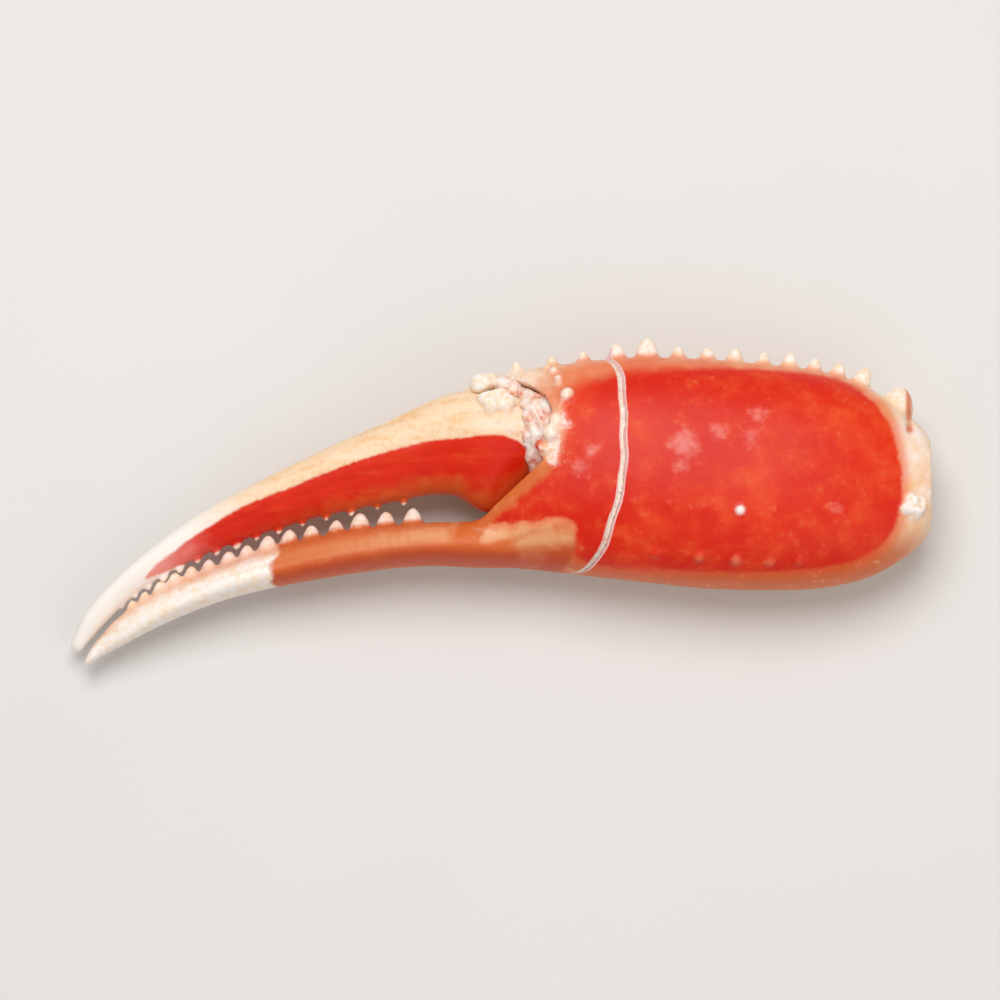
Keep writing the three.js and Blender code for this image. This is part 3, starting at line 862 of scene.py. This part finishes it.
def build_shell():
    """The hard shell in one skin, with its hollow, its mouth and the saw cut."""
    palm = grow(LOFT, palm_rail(0, PALM_FRONT_X, WRIST_X), Rows=170, Sides=150,
                Boxiness=PALM_BOXINESS)
    palm = combine(palm, mouth_cutter(), "DIFFERENCE")
    finger = grow(LOFT, finger_rail(fixed, tip_half=1.2), Rows=150, Sides=64,
                  Boxiness=FINGER_BOXINESS, Pinch=fixed.pinch)
    teeth = teeth_row(which=1, seed=5, gap_shares=(0.68, 0.8), phase=0)
    skin = fuse([palm, finger, teeth, *palm_ornaments()], voxel=0.26, softening=2)
    to_side = np.abs(read_points(skin) - LOBE_MIDDLE) / LOBE_HALVES
    soften_where(skin, ramp(1 - to_side.max(1), 0, 0.3), rounds=60)
    shell_relief(skin)
    hollow = grow(LOFT, palm_rail(SHELL, HOLLOW_X, WRIST_X + 2, hollow=True), Rows=50, Sides=64,
                  Boxiness=PALM_BOXINESS)
    skin = combine(skin, hollow, "DIFFERENCE")
    return combine(skin, score_slab(SCORE_WIDTH), "DIFFERENCE")


shell = build_shell()
print("shell:", len(shell.vertices), "points")

# %% The movable finger
def finger_relief(mesh):
    """Grooves along the finger's side, and slow waves."""
    points = read_points(mesh)
    share, along, _ = movable.locate(points)
    fade = ramp(share, 0.2, 0.34) * ramp(1 - share, 0.2, 0.4)
    grooves = -0.09 * np.exp(-((along + 0.28) / 0.1) ** 2) - 0.06 * np.exp(-((along - 0.08) / 0.1) ** 2)
    waves = 0.1 * clouds(points, 5, 6) + 0.035 * clouds(points, 1.1, 7) * (1 - ramp(share, 0.6, 0.8))
    raise_points(mesh, grooves * fade + waves * (1 - 0.7 * ramp(share, 0.6, 0.9)))


def build_finger():
    """The movable finger with its teeth and the bump over its root."""
    body = grow(LOFT, finger_rail(movable, tip_half=0.8), Rows=170, Sides=72,
                Boxiness=FINGER_BOXINESS, Pinch=movable.pinch)
    teeth = teeth_row(which=0, seed=9, gap_shares=(0.25, 0.5), phase=5)
    bump = lump((-0.2, 10, 10.6), (2.7, 2.3, 2.1))
    skin = fuse([body, teeth, bump], voxel=0.19, softening=3)
    finger_relief(skin)
    return skin


finger = build_finger()
print("movable finger:", len(finger.vertices), "points")

# %% [markdown]
# ## Skin and meat
#
# The soft skin in the joint is a copy of its solid with one more fold under the crest, swollen to
# close most of the room round it, and folded round the finger's root. The meat fills the hollow;
# where the shell is sawn it swells into the kerf, which is why the score shows as a pink white
# line.

# %% The joint skin
def solid_copy(node):
    """A merged copy of a node's mesh, in mm and in the claw's own coordinates."""
    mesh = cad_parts[node].data.copy()
    shape = bmesh.new()
    shape.from_mesh(mesh)
    bmesh.ops.remove_doubles(shape, verts=shape.verts, dist=1e-7)
    shape.to_mesh(mesh)
    shape.free()
    mesh.transform(TO_CLAW)
    return mesh


wrist_end, meat_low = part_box("claw_shell")[1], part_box("claw_meat")[0]
lowest_meat = palm_bottom[:, 1].min() + SHELL + GAP
SHIFT = Vector((1000 * wrist_end.x - WRIST_X, 1000 * meat_low.y - lowest_meat, 0))
TO_FRAME = Matrix.Scale(0.001, 4) @ Matrix.Translation(SHIFT)
TO_CLAW = TO_FRAME.inverted()
print("claw to frame, mm:", [round(v, 2) for v in SHIFT])


SWELLING = 0.42  # the skin closes most of the room that the solids keep round it


def build_skin():
    """The folded soft skin in the joint."""
    under_crest = lump((1, 12.6, 8), (1.8, 1.3, 3))
    skin = fuse([solid_copy("joint_skin"), under_crest], voxel=0.2, softening=6)
    points = read_points(skin)
    from_root = np.hypot(points[:, 0] - 0.5, points[:, 1] - 6.5)
    folds = 0.12 * np.sin(from_root * 5.5 + 2 * clouds(points, 2.5, 8)) + 0.22 * clouds(points, 1.4, 9)
    raise_points(skin, SWELLING + folds)
    return skin


joint_skin = build_skin()
print("joint skin:", len(joint_skin.vertices), "points")

# %% The meat
KERF_MEAT_INSET = 0.14  # how far under the shell's face the meat stays in the kerf


def build_meat():
    """The meat in the hollow, with the strip in the kerf and its rough end at the wrist."""
    along = palm_rail(SHELL + 0.04, MEAT_FRONT_X, WRIST_X - MEAT_RECESS, hollow=True)
    body = grow(LOFT, along, Rows=80, Sides=90, Boxiness=PALM_BOXINESS)
    swollen = grow(LOFT, palm_rail(KERF_MEAT_INSET, 6, 20), Rows=60, Sides=120, Boxiness=PALM_BOXINESS)
    strip = combine(swollen, score_slab(SCORE_WIDTH + 0.02), "INTERSECT")
    meat = fuse([combine(body, strip, "UNION")], voxel=0.3, softening=1)
    points = read_points(meat)
    end = ramp(points[:, 0], WRIST_X - MEAT_RECESS - 0.8, WRIST_X - MEAT_RECESS - 0.1)
    fibres = clouds(points * [0.2, 1, 1], 0.9, 10) + 0.5 * clouds(points, 2.2, 11)
    raise_points(meat, end * (0.3 * fibres - 0.1))
    return meat


meat = build_meat()
print("meat:", len(meat.vertices), "points")

# %% [markdown]
# ## Where the colours lie
#
# A cooked claw isn't one red. The red lies on the outer face like a painted panel, with cream along
# the crest, at the wrist and round the joint; the fingers run out to white tips. Each border is
# stored on the points as a distance in mm, so that a finish can draw it as crisply or as softly as
# the real one is. Heights, places along a finger and single marks are stored in the same way.

# %% Distances from lines and borders
VIEW_LEAN = math.tan(math.radians(10))  # the face is drawn as it looks from 10 degrees off upright


def seen(points):
    """Each point's place on the outer face as a drawing of that face has it."""
    return np.column_stack([points[:, 0], points[:, 1] + VIEW_LEAN * (points[:, 2] - MID_HEIGHT)])


def line_distance(places, line):
    """Distance of each place from the nearest point of a dense line."""
    result = np.zeros(len(places))
    for first in range(0, len(places), 8000):
        away = places[first:first + 8000, None, :] - line[None]
        result[first:first + 8000] = np.sqrt((away ** 2).sum(2).min(1))
    return result


def border_distance(places, outline, steps=16):
    """Distance of each place from a smooth closed outline, positive inside it."""
    line = smooth_line([*outline, outline[0]], steps)
    start, end = line[:-1], line[1:]
    run = end - start
    lengths = (run ** 2).sum(1)
    result = np.zeros(len(places))
    for first in range(0, len(places), 3000):
        part = places[first:first + 3000, None, :] - start[None]
        share = np.clip((part * run).sum(2) / lengths, 0, 1)
        away = np.sqrt(((part - share[:, :, None] * run) ** 2).sum(2)).min(1)
        x, y = (places[first:first + 3000, i][:, None] for i in (0, 1))
        crosses = (start[:, 1] > y) != (end[:, 1] > y)
        at = start[:, 0] + (y - start[:, 1]) / np.where(run[:, 1] == 0, 1e-9, run[:, 1]) * run[:, 0]
        inside = (crosses & (x < at)).sum(1) % 2 == 1
        result[first:first + 3000] = np.where(inside, away, -away)
    return result

# %% Panels and marks of the shell
RED_PANEL = [(5.2, 8), (6.4, 10.6), (8, 12.9), (10.4, 14.2), (13, 15), (18, 15.5), (26.7, 15.5),
             (35.7, 14.8), (39.5, 13.9), (42.5, 12), (44.2, 9.8), (45.4, 6.6), (46, 3), (45.9, -0.6),
             (44.8, -3.8), (42.2, -6.2), (38.7, -7.5), (30, -8.3), (18, -8), (11, -7.4), (9, -6.4),
             (8.2, -2.6), (0, -2.6), (-4, -2.4), (-6, 2)]
TAN_PANEL = [(-30, -14), (-30, -2), (-8, -2), (-3.4, -2), (4.6, 4.8), (6, 3.8), (-0.4, -2.2), (-2, -4.8),
             (1.2, -4.2), (4.8, -3.1), (7.9, -2.6), (8.6, -4), (8.4, -6.4), (6, -9), (-8, -10)]


def paint(mesh, **fields):
    """Stores a number for each point under each field's name."""
    for name, values in fields.items():
        mesh.attributes.new(name, "FLOAT", "POINT").data.foreach_set("value", values.astype(np.float32))


def bright_spots(points):
    """1 on the chalky knob at the wrist and on the brightest bead of the outer face."""
    bead = palm_point(FACE_BEAD_X, FACE_ANGLE)[0]
    chalk = 1 - ramp(np.linalg.norm(points - np.array(WRIST_KNOB), axis=1), 1.6, 2.1)
    return np.maximum(chalk, 1 - ramp(np.linalg.norm(points - bead, axis=1), 0.6, 0.9))


# the pale pink spots on the outer face, partly painted highlights and partly pale scars, by their places on
# the face and their radii
HIGHLIGHT_AND_SCAR_SPOTS = [(21.1, 6.5, 1.8), (24.9, 7.9, 0.8), (28.7, 7.2, 0.9), (29.6, 9.8, 0.9), (20.8, 4.2, 0.9),
              (38.6, -0.6, 0.7), (10.5, 5.8, 0.8), (9.4, 3.9, 0.9), (6.4, 13.8, 0.7), (7.3, 11.4, 0.5)]
TAN_STREAKS = [[(-26, -7), (-18, -5.3), (-9, -4.1), (-6.4, -3.9)], [(3, -4.9), (5, -4.3), (8, -4.5)],
               [(3.4, -6.3), (4.4, -6.5)]]


def tan_streaks(points):
    """Distance from the pale streaks along the fixed finger and its root."""
    places = seen(points)
    return np.min([line_distance(places, smooth_line(streak, 8)) for streak in TAN_STREAKS], axis=0)


def highlight_and_scar_spots(points):
    """How far inside the nearest pale pink spot each point lies, in mm, and negative outside. The spots are
    partly painted highlights and partly pale scars.
    """
    places = seen(points)
    marks = [radius - np.hypot(places[:, 0] - x, places[:, 1] - y) for x, y, radius in HIGHLIGHT_AND_SCAR_SPOTS]
    return np.max(marks, axis=0)

# %% Paint the shell
WHITE_TIP_X = -25.0  # the fixed finger's white tip starts here, and a little later at its lower edge
OFF_PALM = 9  # a height that stands for points that are nowhere near the palm


def paint_shell(mesh):
    """The shell's borders."""
    points = read_points(mesh)
    places = seen(points)
    _, along, finger_out = fixed.locate(points)
    palm_out = np.where(points[:, 0] > PALM_FRONT_X, palm_depth(points), OFF_PALM)
    paint(mesh,
          red=border_distance(places, RED_PANEL),
          tan=border_distance(places, TAN_PANEL),
          tip=WHITE_TIP_X + 0.1 * points[:, 1] - points[:, 0],
          rim=line_distance(points[:, :2], mouth_rim),
          out=np.minimum(palm_out, finger_out),
          groove=wrist_groove(points),
          bright=bright_spots(points),
          # pale pink spots on the face, partly painted highlights and partly pale scars
          worn=highlight_and_scar_spots(points),
          streak=tan_streaks(points),
          level=points[:, 2],
          edge=along,
          kerf=np.abs(points[:, 0] - score_x(points[:, 1], points[:, 2])
                      - score_wobble(points[:, 1], points[:, 2])))


paint_shell(shell)
print("borders painted on the shell's", len(shell.vertices), "points")

# %% Paint the movable finger
RED_OF_FINGER = [(5.5, 1), (3.9, 4.6), (2.4, 6.9), (0.5, 7.6), (-1.5, 7.7), (-4.2, 7.4), (-7.2, 7.1),
                 (-10.8, 6.3), (-14, 5.4), (-19.4, 3.5), (-24.3, 1.4), (-27.2, 0.3), (-30, -1),
                 (-32.8, -2.7), (-34.9, -4), (-37.1, -5.7), (-38.8, -7), (-40.4, -8.5),
                 (-40.6, -9.1), (-39, -8.6), (-36.4, -7.6), (-34, -7.4), (-30, -7), (-24, -6),
                 (-12, -4), (-2, -5), (4, -3)]


def paint_finger(mesh):
    """The finger's borders. Its red lies between a cream band along the upper edge and the teeth."""
    points = read_points(mesh)
    share, along, out = movable.locate(points)
    paint(mesh, red=border_distance(seen(points), RED_OF_FINGER), share=share, edge=along, out=out,
          level=points[:, 2])


paint_finger(finger)
print("borders painted on the finger's", len(finger.vertices), "points")

# %% [markdown]
# ## Finishes
#
# Cooked shell is waxy: a soft shine over a colour that is cloudy from within, with a little light
# passing through its thin edges. Each finish starts from its palest ground and lays the other
# colours over it in order, the way the pigment lies in the real shell.

# %% Colours
def srgb(red, green, blue):
    """A colour from its 0 to 255 screen values."""
    return (*(((v / 255 + 0.055) / 1.055) ** 2.4 if v > 10 else v / 3295 for v in (red, green, blue)), 1)


RED, DEEP_RED, ORANGE_RED = srgb(225, 46, 10), srgb(214, 32, 6), srgb(232, 78, 30)
CREAM, PALE_CREAM, WHITE = srgb(242, 194, 142), srgb(248, 218, 184), srgb(252, 243, 236)
TAN, PALE_TAN, PINK = srgb(214, 105, 48), srgb(236, 168, 116), srgb(238, 150, 140)
SALMON, RUST = srgb(226, 112, 68), srgb(196, 62, 26)
LILAC, BUFF = srgb(248, 212, 210), srgb(240, 186, 138)
SKIN_PINK, MEAT_WHITE = srgb(244, 200, 178), srgb(248, 222, 206)

# %% A finish
class Finish:
    """A material's tree with the helpers that all finishes here use."""

    def __init__(self, name):
        self.material = bpy.data.materials.new(name)
        self.material.use_nodes = True
        tree = self.material.node_tree
        self.shader = tree.nodes["Principled BSDF"]
        self.flow = Flow(tree)
        place = self.flow.node("ShaderNodeTexCoord", out="Object")
        self.place = self.flow.vector("SCALE", place, Scale=1000.0)  # in mm
        self.x = self.flow.node("ShaderNodeSeparateXYZ", sockets={"Vector": self.place})
        self.y = self.x.other("Y")

    def field(self, name):
        """A number that is stored on the mesh."""
        return self.flow.node("ShaderNodeAttribute", {"attribute_name": name}, out="Fac")

    def noise(self, size, detail=3.0, stretch=None):
        """Clouds from about -0.5 to 0.5 whose lumps are size mm apart."""
        place = self.flow.vector("MULTIPLY", self.place, stretch) if stretch else self.place
        sockets = {"Vector": place, "Scale": 1 / size, "Detail": detail}
        return self.flow.node("ShaderNodeTexNoise", sockets=sockets) - 0.5

    def spots(self, size, radius, share):
        """Round spots about size mm apart: this share of them, with a radius as a share of the size."""
        cells = self.flow.node("ShaderNodeTexVoronoi", sockets={"Vector": self.place, "Scale": 1 / size},
                               out="Distance")
        chance = self.flow.node("ShaderNodeSeparateColor", sockets={"Color": cells.other("Color")})
        return (1.0 - cells.step(radius * 0.6, radius)) * (1.0 - chance.step(share - 0.02, share + 0.02))

    def mix(self, mask, below, above):
        """One colour laid over another where the mask is 1."""
        sockets = {"Factor": mask, "A": below, "B": above}
        return self.flow.node("ShaderNodeMix", {"data_type": "RGBA"}, sockets)

    def bump(self, height, depth):
        """Fine relief of a height field, depth mm deep."""
        sockets = {"Height": height, "Distance": depth / 1000, "Strength": 1.0}
        return self.flow.node("ShaderNodeBump", sockets=sockets)

    def finish(self, colour, roughness, normal, **constants):
        """Joins the results to the shader and sets its constant values."""
        for name, result in (("Base Color", colour), ("Roughness", roughness), ("Normal", normal)):
            self.flow.tree.links.new(result.socket, self.shader.inputs[name])
        for name, value in constants.items():
            self.shader.inputs[name.replace("_", " ")].default_value = value
        return self.material


CREST_LEVEL = 9.8  # how far above the table the crest's spines stand
WAX = {"Subsurface_Weight": 0.12, "Subsurface_Scale": 0.001, "Subsurface_Radius": (1.0, 0.35, 0.2),
       "Specular_IOR_Level": 0.22, "Coat_Roughness": 0.35, "Coat_Weight": 0.03}

# %% The shell's ground
def crest_and_lower_edge(f, clouds, level, towards_front):
    """The outer face's ground: a cream crest with a pale ridge, and a tan lower edge."""
    wide, medium, fine = clouds
    chalk = (f.x + medium * 3.0).step(44.0, 48.0) * (wide + medium).step(-0.3, 0.2)
    crest = f.mix(0.15 + towards_front * f.x.step(6.0, 18.0) * 0.5 + medium * 0.9, CREAM, SALMON)
    front = (1.0 - (f.x + medium * 6.0).step(2.0, 8.0)) * f.y.step(6.0, 10.0)
    crest = f.mix(front * (0.55 + fine * 1.5), crest, WHITE)
    crest = f.mix(chalk * 0.75, crest, WHITE)
    off_ridge = level.math("ABSOLUTE", level - CREST_LEVEL) + medium * 2.0 + fine
    ridge = (1.0 - off_ridge.step(0.5, 2.6)) * (0.55 + (f.x + medium * 6.0).step(16.0, 26.0) * 0.45)
    crest = f.mix(ridge * 0.8, crest, PALE_CREAM)
    edge = f.mix((medium + wide).step(-0.2, 0.3), TAN, SALMON)
    edge = f.mix((fine * 1.2 + medium).step(0.12, 0.34) * 0.6, edge, PALE_TAN)
    lower = 1.0 - (f.y + medium * 2.0).step(-7.5, -2.5)
    return f.mix(lower, crest, edge)


def inner_face(f, clouds):
    """The pale face that the claw lies on, with tan spots."""
    wide, medium, fine = clouds
    inner = f.mix((medium + wide).step(-0.05, 0.4), CREAM, PALE_TAN)
    inner = f.mix(f.spots(2.4, 0.3, 0.6) * 0.7, inner, TAN)
    return f.mix((wide + fine * 0.4).step(0.12, 0.3) * 0.5, inner, SALMON)

# %% The shell's red
def shell_red(f, clouds):
    """Cloudy red with pale pink spots that are partly painted highlights and partly pale scars, speckled
    with white near the joint's rim.
    """
    wide, medium, fine = clouds
    red = f.mix(wide.step(-0.2, 0.25), DEEP_RED, RED)
    red = f.mix((medium + wide * 0.5 + fine * 0.3).step(-0.15, 0.35) * 0.75, red, ORANGE_RED)
    red = f.mix((fine + medium * 0.5).step(0.12, 0.34) * 0.4, red, SALMON)
    # pale pink spots laid on the red: partly painted highlights, partly pale scars
    worn = (f.field("worn") + medium * 3.2 + fine * 2.0).step(-0.6, 1.6)
    red = f.mix(worn * 0.6, red, PINK)
    lip = 1.0 - (f.field("rim") + medium * 2.4 + fine * 1.4).step(0.3, 1.8)
    near_rim = 1.0 - (f.field("rim") + medium * 4.0).step(0.2, 3.4)
    specks = f.mix((fine + medium).step(-0.1, 0.4), SALMON, PALE_CREAM)
    red = f.mix(near_rim * 0.75, red, f.mix((fine + medium * 1.4).step(-0.15, 0.45), ORANGE_RED, specks))
    return f.mix(lip * 0.85, red, f.mix((fine + medium).step(-0.25, 0.25), WHITE, CREAM))


def lay_red(f, clouds, colour, facing_up, towards_front):
    """The red panel laid over the ground, with a softer border at the front."""
    _, medium, fine = clouds
    softer = 1.0 + towards_front * f.y.step(6.0, 10.0) * 2.5
    panel = (f.field("red") + fine * 0.5 + medium * (0.6 + towards_front * 1.2)) / softer
    colour = f.mix((panel + 0.9).step(-0.6, 0.7) * facing_up * 0.55, colour, ORANGE_RED)
    return f.mix(panel.step(-0.3, 0.35) * facing_up, colour, shell_red(f, clouds))

# %% The fixed finger's colours
def lay_tan(f, clouds, colour, level):
    """The fixed finger's tan, with a pale streak and a rusty lower side."""
    _, medium, fine = clouds
    tan = f.mix((medium + fine * 0.4).step(0.0, 0.5) * 0.7, TAN, PALE_TAN)
    streak = 1.0 - (f.field("streak") + medium * 2.4 + fine).step(-0.2, 2.0)
    tan = f.mix(streak * (0.2 + f.x.step(-24.0, -8.0) * 0.45), tan, BUFF)
    low_side = (f.field("edge") * -1.0 + medium * 0.8).step(0.1, 0.9)
    low_side = low_side * (level + medium * 3.0).step(5.0, 9.0)
    tan = f.mix(low_side * 0.75, tan, RUST)
    is_tan = (f.field("tan") + fine * 0.6 + medium).step(-0.4, 0.5)
    return f.mix(is_tan * (level + medium * 2.0).step(3.5, 6.0), colour, tan)


def lay_white_tip(f, clouds, colour):
    """The fixed finger's white tip, a little tan where its teeth are."""
    _, medium, fine = clouds
    white = f.mix((fine + medium * 0.5).step(-0.15, 0.35), WHITE, PALE_CREAM)
    teeth_side = (f.field("edge") + medium * 0.9).step(0.2, 0.95)
    white = f.mix(teeth_side * 0.6, white, PALE_TAN)
    return f.mix((f.field("tip") + fine * 0.5 + medium * 2.5).step(-0.3, 0.4), colour, white)

# %% Spines, beads, groove and saw cut
def lay_relief(f, clouds, colour, level):
    """Pale colours on all that stands out of the shell, tan in the groove and lilac on the sawn edge."""
    _, medium, fine = clouds
    out = f.field("out")
    on_face = (level - 9.0).step(0.0, 1.0) * (1.0 - f.y.step(8.0, 10.0)) * f.x.step(8.0, 10.0)
    proud = (out + fine * 0.3).step(0.1, 0.85)
    colour = f.mix(proud * on_face * 0.55, colour, PALE_TAN)
    colour = f.mix(proud * (1.0 - on_face), colour, f.mix(fine.step(-0.2, 0.2), PALE_CREAM, WHITE))
    chalky = f.mix((medium + fine).step(-0.1, 0.3), WHITE, CREAM)
    colour = f.mix(f.field("bright") * (out + fine * 0.3).step(-0.05, 0.35), colour, chalky)
    colour = f.mix((f.field("groove") + fine * 0.8 + medium * 1.2).step(0.3, 1.1) * 0.85, colour, TAN)
    sawn = 1.0 - (f.field("kerf") + fine * 0.12).step(0.36, 0.5)
    return f.mix(sawn * 0.9, colour, LILAC)

# %% The shell's finish
def shell_finish():
    """All of the shell's colours, laid over each other from the ground up."""
    f = Finish("cooked shell")
    clouds = wide, medium, fine = f.noise(9), f.noise(2.2), f.noise(0.7)
    level = f.field("level")
    facing_up = (level + wide * 3.0 + medium * 2.0).step(4.2, 7.4)
    towards_front = 1.0 - f.x.step(12.0, 30.0)
    outer = crest_and_lower_edge(f, clouds, level, towards_front)
    colour = f.mix(facing_up, inner_face(f, clouds), outer)
    colour = lay_red(f, clouds, colour, facing_up, towards_front)
    colour = lay_tan(f, clouds, colour, level)
    colour = lay_white_tip(f, clouds, colour)
    colour = lay_relief(f, clouds, colour, level)
    normal = f.bump(f.noise(1.1) * 0.5 + f.noise(0.35, 2.0) * 0.3, 0.05)
    roughness = 0.44 + medium * 0.16 + fine * 0.1
    return f.finish(colour, roughness, normal, **WAX)


SHELL_FINISH = shell_finish()
print("shell finish:", len(SHELL_FINISH.node_tree.nodes), "nodes")

# %% The movable finger's finish
def finger_finish():
    """A cream band along the upper edge, red below it, and a white tip with pale teeth."""
    f = Finish("cooked finger")
    wide, medium, fine = f.noise(7), f.noise(2.0), f.noise(0.6)
    streaks = f.noise(1.2, 2.0, stretch=(0.15, 0.9, 0.9))
    share, out = f.field("share"), f.field("out")

    red = f.mix(wide.step(-0.2, 0.25), DEEP_RED, RED)
    red = f.mix(streaks.step(0.02, 0.3) * 0.6, red, ORANGE_RED)
    lower = (f.field("edge") * -1.0 + medium * 0.6).step(0.5, 0.95) * (1.0 - share.step(0.42, 0.62))
    red = f.mix(lower * 0.7, red, TAN)
    red = f.mix((share + medium * 0.06).step(0.62, 0.73), red, PINK)

    cream = f.mix((streaks + fine * 0.7).step(-0.15, 0.3), PALE_CREAM, CREAM)
    root = 1.0 - (share + medium * 0.1).step(0.12, 0.3)
    flecks = f.mix((medium + fine).step(-0.05, 0.25), TAN, WHITE)
    cream = f.mix(root * (wide * 0.6 + fine).step(-0.2, 0.2) * 0.6, cream, WHITE)
    cream = f.mix((medium * -0.6 + fine).step(0.05, 0.3) * root * 0.75, cream, flecks)
    cream = f.mix((share + fine * 0.03).step(0.55, 0.68), cream, WHITE)
    colour = f.mix((f.field("red") + fine * 0.3 + medium * 0.3).step(-0.2, 0.25), cream, red)
    under = 1.0 - (f.field("level") + medium * 2.0 + wide * 2.0).step(3.6, 6.4)
    pale = f.mix(medium.step(-0.1, 0.3), CREAM, PALE_TAN)
    colour = f.mix(under * (1.0 - share.step(0.45, 0.62)) * 0.85, colour, pale)
    teeth = f.mix(fine.step(-0.2, 0.2), PALE_CREAM, WHITE)
    colour = f.mix((out + fine * 0.2).step(0.25, 0.6), colour, teeth)

    normal = f.bump(f.noise(0.8) * 0.3 + streaks * 0.4, 0.06)
    roughness = 0.4 + medium * 0.14 + fine * 0.08
    return f.finish(colour, roughness, normal, **WAX)


FINGER_FINISH = finger_finish()
print("finger finish:", len(FINGER_FINISH.node_tree.nodes), "nodes")

# %% Finishes of skin, meat and table
def skin_finish():
    """Moist folded skin, pinkish white."""
    f = Finish("joint skin")
    medium, fine = f.noise(1.6), f.noise(0.5)
    colour = f.mix((medium + fine * 0.5).step(-0.2, 0.2), SKIN_PINK, WHITE)
    colour = f.mix((fine - medium).step(0.02, 0.3) * 0.75, colour, SALMON)
    return f.finish(colour, 0.34 + fine * 0.2, f.bump(fine + medium, 0.15), Subsurface_Weight=0.25,
                    Subsurface_Scale=0.0015, Coat_Weight=0.3, Coat_Roughness=0.2)


def meat_finish():
    """Moist meat whose fibres run along the claw."""
    f = Finish("crab meat")
    fibres, medium = f.noise(0.5, 3.0, stretch=(0.12, 1.0, 1.0)), f.noise(1.8)
    colour = f.mix((fibres + medium * 0.6).step(-0.15, 0.3), MEAT_WHITE, SKIN_PINK)
    colour = f.mix(medium.step(0.08, 0.3) * 0.6, colour, PINK)
    return f.finish(colour, 0.38 + fibres * 0.2, f.bump(fibres + medium * 0.4, 0.25),
                    Subsurface_Weight=0.3, Subsurface_Scale=0.002, Coat_Weight=0.25, Coat_Roughness=0.2)


def table_finish():
    """A plain pale table."""
    f = Finish("pale table")
    cloud = f.noise(60)
    colour = f.mix(cloud.step(-0.3, 0.3), srgb(222, 220, 218), srgb(226, 224, 223))
    return f.finish(colour, 0.7 + cloud * 0.1, f.bump(f.noise(3.0), 0.02))


SKIN_FINISH, MEAT_FINISH, TABLE_FINISH = skin_finish(), meat_finish(), table_finish()
print("skin, meat and table finish:",
      *(len(made.node_tree.nodes) for made in (SKIN_FINISH, MEAT_FINISH, TABLE_FINISH)), "nodes")

# %% [markdown]
# ## Placing the pieces
#
# Each mesh goes to the frame's metres and takes the place of its solid.

# %% The four pieces
def place(name, mesh, material, node, slot):
    """Moves a finished mesh to the frame and lets it stand for its solid."""
    mesh.transform(TO_FRAME)
    mesh.materials.clear()
    mesh.materials.append(material)
    mesh.set_sharp_from_angle(angle=math.radians(50))
    mesh.shade_smooth()
    mesh.name = name
    piece = new_object(name, mesh)
    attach(piece, "root")
    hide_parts(node)
    print(name, "has", sum(len(p.vertices) - 2 for p in mesh.polygons), "triangles")
    return piece


place("shell_of_palm_and_fixed_finger", shell, SHELL_FINISH, "claw_shell", "shell")
place("upper_finger", finger, FINGER_FINISH, "movable_finger", "finger")
place("folded_joint_skin", joint_skin, SKIN_FINISH, "joint_skin", "skin")
place("meat_in_palm", meat, MEAT_FINISH, "claw_meat", "meat")

# %% [markdown]
# ## Table, light and camera
#
# The main light is a wide soft one above the claw and a little beyond its crest, as over a food
# counter, with a weaker fill from the other side and a pale room all round. The camera looks down
# steeply from the lower edge's side.

# %% Table
TABLE_SIZE = 1.2  # in metres, from its middle to its edge


def build_table():
    """The flat top that the claw lies on."""
    shape = bmesh.new()
    bmesh.ops.create_grid(shape, x_segments=1, y_segments=1, size=TABLE_SIZE)
    mesh = bpy.data.meshes.new("table")
    shape.to_mesh(mesh)
    shape.free()
    mesh.materials.append(TABLE_FINISH)
    table = new_object("table", mesh)
    table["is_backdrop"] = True


build_table()

# %% Light
def area_light(name, place, size, power, colour):
    """A soft light that faces the claw."""
    lamp = bpy.data.lights.new(name, "AREA")
    lamp.shape, lamp.size, lamp.energy, lamp.color = "DISK", size, power, colour
    made = new_object(name, lamp)
    made.location = place
    made.rotation_euler = (-Vector(place)).to_track_quat("-Z", "Y").to_euler()


area_light("key", (-0.04, 0.2, 0.56), size=0.4, power=2.4, colour=(1.0, 0.985, 0.96))
area_light("fill", (0.3, -0.35, 0.45), size=0.6, power=0.8, colour=(1.0, 0.98, 0.97))
world = bpy.data.worlds.new("soft room")
world.use_nodes = True
world.node_tree.nodes["Background"].inputs["Color"].default_value = (1.0, 0.99, 0.98, 1)
world.node_tree.nodes["Background"].inputs["Strength"].default_value = 0.4
bpy.context.scene.world = world
bpy.context.scene.view_settings.view_transform = "Standard"
print("lights:", len(bpy.data.lights))

# %% Camera
ELEVATION, DISTANCE = math.radians(80), 0.7  # how steeply the camera looks down, and from how far
FRAME_SHARE, SENSOR = 0.86, 0.036  # the share of the picture's width that the claw fills, and the film's
low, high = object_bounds()
aim = (low + high) / 2
lens = bpy.data.cameras.new("camera")
lens.sensor_width = 1000 * SENSOR
lens.lens = 1000 * SENSOR * DISTANCE * FRAME_SHARE / (high.x - low.x)
lens.clip_start, lens.clip_end = 0.01, 10
camera = new_object("camera", lens)
camera.location = aim + DISTANCE * Vector((0, -math.cos(ELEVATION), math.sin(ELEVATION)))
camera.rotation_euler = (aim - camera.location).to_track_quat("-Z", "Y").to_euler()
bpy.context.scene.camera = camera
print("lens, mm:", round(lens.lens, 1))
